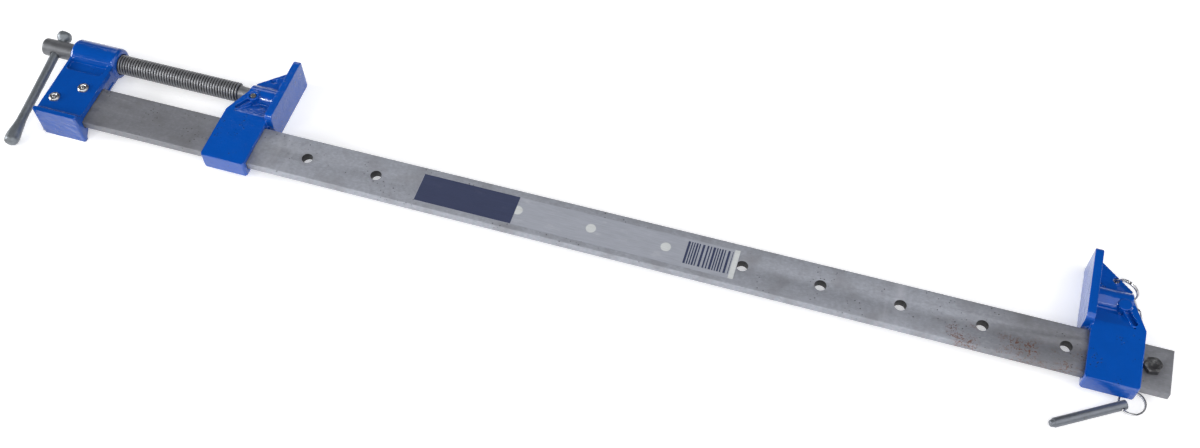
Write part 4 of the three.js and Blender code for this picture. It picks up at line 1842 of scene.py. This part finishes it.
@dataclass
class StopBolt:
    """The bolt that stops the tail shoe at the bar's end, and its nut."""

    finish: bpy.types.Material
    across: float = 10.0 * MM
    turn: float = math.radians(8.0)
    head_high: float = 4.0 * MM
    dish_radius: float = 3.5 * MM
    dish_deep: float = 0.3 * MM
    dish_slope: float = 0.5 * MM
    chamfer: float = 0.85 * MM
    chamfer_share: float = 0.58
    flat_in: float = 0.1 * MM
    shank_radius: float = 2.5 * MM
    shank_tip: float = 0.7 * MM
    thread_from: float = 0.4 * MM
    nut_bore: float = 3.1 * MM
    head_edge: float = 0.25 * MM
    head_edge_steps: int = 3
    nut_edge: float = 0.2 * MM
    nut_edge_steps: int = 2
    edge_angle: float = 40.0
    overrun: float = 1 * MM
    cone_sides: int = 64
    shank_sides: int = 32
    thread: ThreadForm = ThreadForm(pitch=1.0 * MM, crest=2.95 * MM, root=2.5 * MM, sides=24)

    def hexagon(self) -> Outline:
        """Draws the head and the nut, seen along the bolt.

        Returns:
            The outline.
        """
        radius = self.across / math.sqrt(3)
        turns = [self.turn + math.radians(60 * i) for i in range(6)]
        return [(radius * math.cos(a), radius * math.sin(a)) for a in turns]

    def block(self, low: float, high: float, stand: Placement, upper: bool, lower: bool) -> bpy.types.Object:
        """Makes a hexagonal block with its corners taken off on one face.

        Args:
            low: where it starts.
            high: where it ends.
            stand: its placement.
            upper: whether the upper face is so.
            lower: whether the lower face is so.

        Returns:
            The object.
        """
        made = prism("hexagon", self.hexagon(), low, high, stand)
        flat, wide, worn = self.across / 2 - self.flat_in, self.across, self.across * self.chamfer_share
        top = ((high - self.chamfer, worn), (high, flat)) if upper else ((high, wide),)
        foot = ((low, flat), (low + self.chamfer, worn)) if lower else ((low, wide),)
        return combine(made, turned("cone", foot + top, stand, self.cone_sides), Cut.INTERSECT)

    def build(self) -> None:
        """Builds the bolt, with a shallow round dish in its head, and the nut."""
        low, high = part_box("stop_bolt")
        middle = (low + high) / 2
        stand = Placement.upright((middle.x, middle.y, 0))
        seat = high.z - self.head_high
        head = self.block(seat, high.z, stand, True, False)
        floor = (high.z - self.dish_deep, self.dish_radius - self.dish_slope)
        combine(head, turned("dish", (floor, (high.z + self.overrun, self.dish_radius)), stand), Cut.DIFFERENCE)
        ease_edges(head, self.head_edge, self.head_edge_steps, self.edge_angle)
        radius, tip = self.shank_radius, self.shank_tip
        profile = ((low.z, radius - tip), (low.z + tip, radius), (seat + self.flat_in, radius))
        shank = turned("shank", profile, stand, self.shank_sides)
        thread_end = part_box("bar")[0].z + self.overrun
        ridge = screw_ridge("ridge", stand, low.z + self.thread_from, thread_end, self.thread)
        made = joined("end_bolt", [head, shank, ridge])
        dress(shade(made, angle=35.0), self.finish, Slot.DARK_STEEL, "root", "stop_bolt")
        nut_low, nut_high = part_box("stop_nut")
        nut = self.block(nut_low.z, nut_high.z, stand, False, True)
        start, end = nut_low.z - self.overrun, nut_high.z + self.overrun
        combine(nut, turned("bore", ((start, self.nut_bore), (end, self.nut_bore)), stand), Cut.DIFFERENCE)
        ease_edges(nut, self.nut_edge, self.nut_edge_steps, self.edge_angle)
        nut.name = "end_nut"
        dress(shade(nut, angle=35.0), self.finish, Slot.DARK_STEEL, "root", "stop_nut")


@dataclass
class Tether:
    """The two split rings, the chain between them and the locking pin."""

    bright: bpy.types.Material
    pin_finish: bpy.types.Material
    links: int = 8
    ring_radius: float = 7.9 * MM
    ring_wide: float = 0.55 * MM
    ring_high: float = 0.46 * MM
    ring_steps: int = 160
    ring_corner: float = 0.14 * MM
    ring_turns: float = 4 * math.pi - 0.5
    ring_cross: tuple[float, float] = (0.46, 0.54)
    ring_gap: float = 0.02 * MM
    ring_starts: tuple[float, float] = (0.9, 2.4)
    link_bend: float = 2.0 * MM
    link_half: float = 3.1 * MM
    bend_steps: int = 12
    wire: float = 0.52 * MM
    wire_sides: int = 14
    pin_hole: float = 1.75 * MM
    pin_hole_in: float = 3.6 * MM
    pin_tip: float = 2.1 * MM
    pin_slope: tuple[float, float] = (2.6 * MM, 1.9 * MM)
    pin_shoulder: float = 0.45 * MM
    pin_middle: float = 0.3 * MM
    pin_edge: float = 0.55 * MM
    pin_step: float = 2.5 * MM
    pin_sides: int = 40
    drill_sides: int = 28

    def build(self) -> None:
        """Builds every piece of the tether."""
        for node, start in zip(("shoe_ring", "pin_ring"), self.ring_starts):
            self.split_ring(node, start)
        for i in range(self.links):
            self.link(f"chain_link_{i + 1}", f"link_{i + 1}")
        self.locking_pin()

    def split_ring(self, node: str, start: float) -> None:
        """Builds a ring of two turns of flat wire, which cross over at one place.

        Args:
            node: the node that it stands for, and the body that it rides on.
            start: the heading of the wire's end, in radians.
        """
        stand = Placement.of_node(node)
        section = flat_section(self.ring_wide, self.ring_high, self.ring_corner)
        cross, crossed = self.ring_cross
        path = []
        for i in range(self.ring_steps + 1):
            share = i / self.ring_steps
            angle = start + share * self.ring_turns
            step = min(1.0, max(0.0, (share - cross) / (crossed - cross)))
            high = (self.ring_high + self.ring_gap) * (-math.cos(math.pi * step))
            path.append((self.ring_radius * math.cos(angle), self.ring_radius * math.sin(angle), angle, high))
        made = wire_loop(node.replace("_", "-"), path, section, stand, False)
        dress(shade(made, angle=40.0), self.bright, Slot.BRIGHT_STEEL, node, node)

    def link(self, node: str, body: str) -> None:
        """Builds one oval link of round wire.

        Args:
            node: the link's node.
            body: the body that it rides on.
        """
        stand = Placement.of_node(node)
        path = []
        for side, first in ((1, -math.pi / 2), (-1, math.pi / 2)):
            for i in range(self.bend_steps + 1):
                angle = first + math.pi * i / self.bend_steps
                x = side * self.link_half + self.link_bend * math.cos(angle)
                path.append((x, self.link_bend * math.sin(angle), angle, 0.0))
        made = wire_loop(node.replace("_", "-"), path, round_section(self.wire, self.wire_sides), stand, True)
        dress(shade(made, angle=60.0), self.bright, Slot.BRIGHT_STEEL, body, node)

    def locking_pin(self) -> None:
        """Builds the pin, with its cross hole and its stepped tip."""
        hinge = frame_joint("locking_pin_swing")
        stand = Placement.of_node("locking_pin")
        flip = -1 if (hinge - stand.middle).dot(stand.x) > 0 else 1
        axis = stand.x * flip
        points = [(v.co - stand.middle).dot(axis) for v in frame["nodes"]["locking_pin"].data.vertices]
        long = max(points) - min(points)
        radius = (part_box("locking_pin")[1].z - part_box("locking_pin")[0].z) / 2
        turned_stand = Placement.lengthwise(stand.middle + axis * min(points), axis)
        tip, inner = self.pin_tip, self.pin_middle
        slope_start, slope_end = (long - back for back in self.pin_slope)
        sharp = (
            (0, inner), (0, radius), (slope_start, radius), (slope_end, tip + self.pin_shoulder),
            (long - inner, tip), (long, tip - inner), (long, inner),
        )
        profile = densified(filleted(sharp, self.pin_edge), self.pin_step)
        made = turned("loose_pin", profile, turned_stand, self.pin_sides)
        cross = Vector((-axis.y, axis.x, 0))
        hole = Placement.lengthwise(stand.middle + axis * (min(points) + self.pin_hole_in), cross)
        drill = turned("drill", ((-2 * radius, self.pin_hole), (2 * radius, self.pin_hole)), hole, self.drill_sides)
        combine(made, drill, Cut.DIFFERENCE)
        dress(shade(made, angle=40.0), self.pin_finish, Slot.BRIGHT_STEEL, "pin", "locking_pin")


@dataclass(frozen=True)
class Lamp:
    """A soft rectangular lamp that points at the clamp: its place, its width and height, and its power in watts."""

    name: str
    place: tuple[float, float, float]
    wide: float
    high: float
    power: float

    def build(self) -> None:
        """Adds the lamp."""
        light = bpy.data.lights.new(self.name, "AREA")
        light.shape = "RECTANGLE"
        light.size, light.size_y = self.wide, self.high
        light.energy = self.power
        made = bpy.data.objects.new(self.name, light)
        made.location = self.place
        made.rotation_euler = (-Vector(self.place)).to_track_quat("-Z", "Y").to_euler()
        bpy.context.scene.collection.objects.link(made)


@dataclass
class Studio:
    """The pale table, the soft light and the camera."""

    lamps: tuple[Lamp, ...] = (
        Lamp("key", (1.0, -1.2, 2.2), 4.0, 4.0, 68.0),
        Lamp("left", (-2.3, -0.5, 0.7), 1.0, 1.0, 38.0),
        Lamp("right", (1.9, 0.1, 1.2), 2.0, 2.0, 9.0),
        Lamp("strip", (-0.3, -1.6, 0.95), 3.0, 0.25, 5.4),
        Lamp("front_glint", (-0.82, -1.05, 1.07), 0.18, 0.18, 3.2),
        Lamp("back_glint", (-0.9, 1.2, 0.9), 0.5, 0.5, 1.5),
        Lamp("right_glint", (1.6, 1.2, 1.9), 0.2, 0.2, 3.0),
    )
    floor_half: float = 4.0
    floor_colour: Colour = (0.88, 0.88, 0.885)
    floor_cloud: Pattern = Pattern(3, 2)
    floor_shades: tuple[float, float] = (0.99, 1.01)
    floor_rough: float = 0.9
    floor_gloss: float = 0.1
    lift: float = 0.42
    fade: tuple[float, float] = (0.9, 2.4)
    room: tuple[tuple[float, Colour], ...] = ((0.04, (0.45, 0.45, 0.46)), (0.34, (0.05, 0.052, 0.06)))
    camera_place: tuple[float, float, float] = (0.19091, -0.49182, 0.76392)
    camera_right: tuple[float, float, float] = (0.9509, 0.3077, -0.0344)
    camera_up: tuple[float, float, float] = (-0.2403, 0.8035, 0.5446)
    focal_share: float = 1375.5 / 1200
    shift: tuple[float, float] = (0.0364, 0.0254)
    sensor: float = 36.0

    def build(self) -> None:
        """Builds the floor, the lights, the world and the camera."""
        self.floor()
        self.world()
        for lamp in self.lamps:
            lamp.build()
        self.camera()
        bpy.context.scene.view_settings.view_transform = "Standard"

    def seen(self, shader: Shader) -> Socket:
        """Tells rays that look at the table from those that it lights the object with.

        Args:
            shader: the table's material.

        Returns:
            1 for the first kind and 0 for the second.
        """
        path = shader.node("LightPath")
        total = path.outputs["Is Camera Ray"]
        for name in ("Is Glossy Ray", "Is Transmission Ray"):
            total = shader.sums("MAXIMUM", total, path.outputs[name])
        return total

    def floor(self) -> None:
        """Builds the table top."""
        half = self.floor_half
        outline = ((-half, -half, 0), (half, -half, 0), (half, half, 0), (-half, half, 0))
        made = object_of("floor", outline, [(0, 1, 2, 3)])
        shader = Shader("pale_table")
        shader.colour(shader.shades(shader.noise(self.floor_cloud), *self.floor_shades, self.floor_colour))
        shader.keep("Roughness", self.floor_rough)
        shader.keep("Specular IOR Level", self.floor_gloss)
        glow = shader.node("Emission")
        away = shader.between(shader.away("XY", (0.0, 0.0)), *self.fade)
        lift = shader.sums("MULTIPLY_ADD", away, 1 - self.lift, self.lift)
        shader.feed(glow.inputs["Strength"], shader.sums("MULTIPLY", self.seen(shader), lift))
        both = shader.node("AddShader")
        shader.feed(both.inputs[0], shader.surface.outputs["BSDF"])
        shader.feed(both.inputs[1], glow.outputs["Emission"])
        shader.feed(shader.tree.nodes["Material Output"].inputs["Surface"], both.outputs["Shader"])
        made.data.materials.append(shader.material)

    def world(self) -> None:
        """Builds the room's even light, pale low down and dimmer overhead."""
        world = bpy.data.worlds.new("studio")
        world.use_nodes = True
        bpy.context.scene.world = world
        tree = world.node_tree
        back = tree.nodes["Background"]
        place = tree.nodes.new("ShaderNodeTexCoord")
        split = tree.nodes.new("ShaderNodeSeparateXYZ")
        tree.links.new(place.outputs["Generated"], split.inputs["Vector"])
        ramp = tree.nodes.new("ShaderNodeValToRGB")
        tree.links.new(split.outputs["Z"], ramp.inputs["Fac"])
        for stop, (at, colour) in zip(ramp.color_ramp.elements, self.room):
            stop.position = at
            stop.color = (*colour, 1)
        path = tree.nodes.new("ShaderNodeLightPath")
        white = tree.nodes.new("ShaderNodeMix")
        white.data_type = "RGBA"
        room, backdrop = (white.inputs[socket] for socket in MIX_COLOURS)
        tree.links.new(path.outputs["Is Camera Ray"], white.inputs["Factor"])
        tree.links.new(ramp.outputs["Color"], room)
        backdrop.default_value = (1, 1, 1, 1)
        tree.links.new(white.outputs[MIX_BLEND], back.inputs["Color"])
        back.inputs["Strength"].default_value = 1.0

    def camera(self) -> None:
        """Adds the camera."""
        camera = bpy.data.cameras.new("camera")
        camera.sensor_width = self.sensor
        camera.lens = self.focal_share * self.sensor
        camera.shift_x, camera.shift_y = self.shift
        made = bpy.data.objects.new("camera", camera)
        right = Vector(self.camera_right).normalized()
        up = Vector(self.camera_up)
        up = (up - right * up.dot(right)).normalized()
        turn = Matrix((right, up, right.cross(up))).transposed().to_4x4()
        made.matrix_world = Matrix.Translation(self.camera_place) @ turn
        bpy.context.scene.collection.objects.link(made)
        bpy.context.scene.camera = made


def main() -> None:
    """Builds the sub-assemblies in order."""
    logging.basicConfig(level=logging.INFO, format="%(name)s: %(message)s")
    enamel = Enamel().build()
    # a darker copy of the enamel: painted shade on the head
    head_enamel_painted_shade = Enamel("head_enamel_painted_shade", (0.0, 0.068, 0.37)).build()
    bright = BrightSteel("bright_plate", (0.62, 0.62, 0.63), rough=(0.18, 0.36)).build()
    rivet_steel = BrightSteel("rivet_steel", (0.5, 0.5, 0.51), rough=(0.24, 0.34)).build()
    dull_pin = BrightSteel("dull_pin", (0.3, 0.3, 0.3), rough=(0.36, 0.5)).build()
    ink = Film("navy_ink", (0.036, 0.046, 0.1), scuff=(0.1, 0.11, 0.17), metallic=0.0, scuffed=0.25).build()
    clear = Film("clear_film", (0.44, 0.46, 0.52), scuff=(0.64, 0.66, 0.69), metallic=0.35, scuffed=0.5).build()
    # pale film: the end strip, and the spots of painted light over the holes
    pale = Film("pale_film", (0.6, 0.62, 0.62), scuff=(0.42, 0.4, 0.36), metallic=0.0, scuffed=0.4).build()
    handle_steel = ForgedSteel(
        "handle_steel", (0.21, 0.23, 0.25), dark=(0.1, 0.105, 0.11), metallic=0.6, rough=(0.36, 0.52), deep=0.06 * MM
    ).build()
    pin_steel = ForgedSteel(
        "pin_steel", (0.18, 0.195, 0.22), dark=(0.11, 0.115, 0.13), metallic=0.65, rough=(0.34, 0.46), deep=0.01 * MM
    ).build()
    assemblies = (
        Bar(),
        PrintedFilm(clear, ink, pale),
        HeadAssembly(head_enamel_painted_shade, rivet_finish=rivet_steel),
        ScrewAssembly(handle_steel),
        SlidingJaw(enamel),
        JawCasting(enamel, node="tail_shoe", body="shoe", facing=-1),
        RetainingPin(dull_pin),
        StopBolt(BlackOxide().build()),
        Tether(bright, pin_steel),
        Studio(),
    )
    for assembly in assemblies:
        assembly.build()
        log.info("built %s", type(assembly).__name__)


if __name__ == "__main__":
    main()
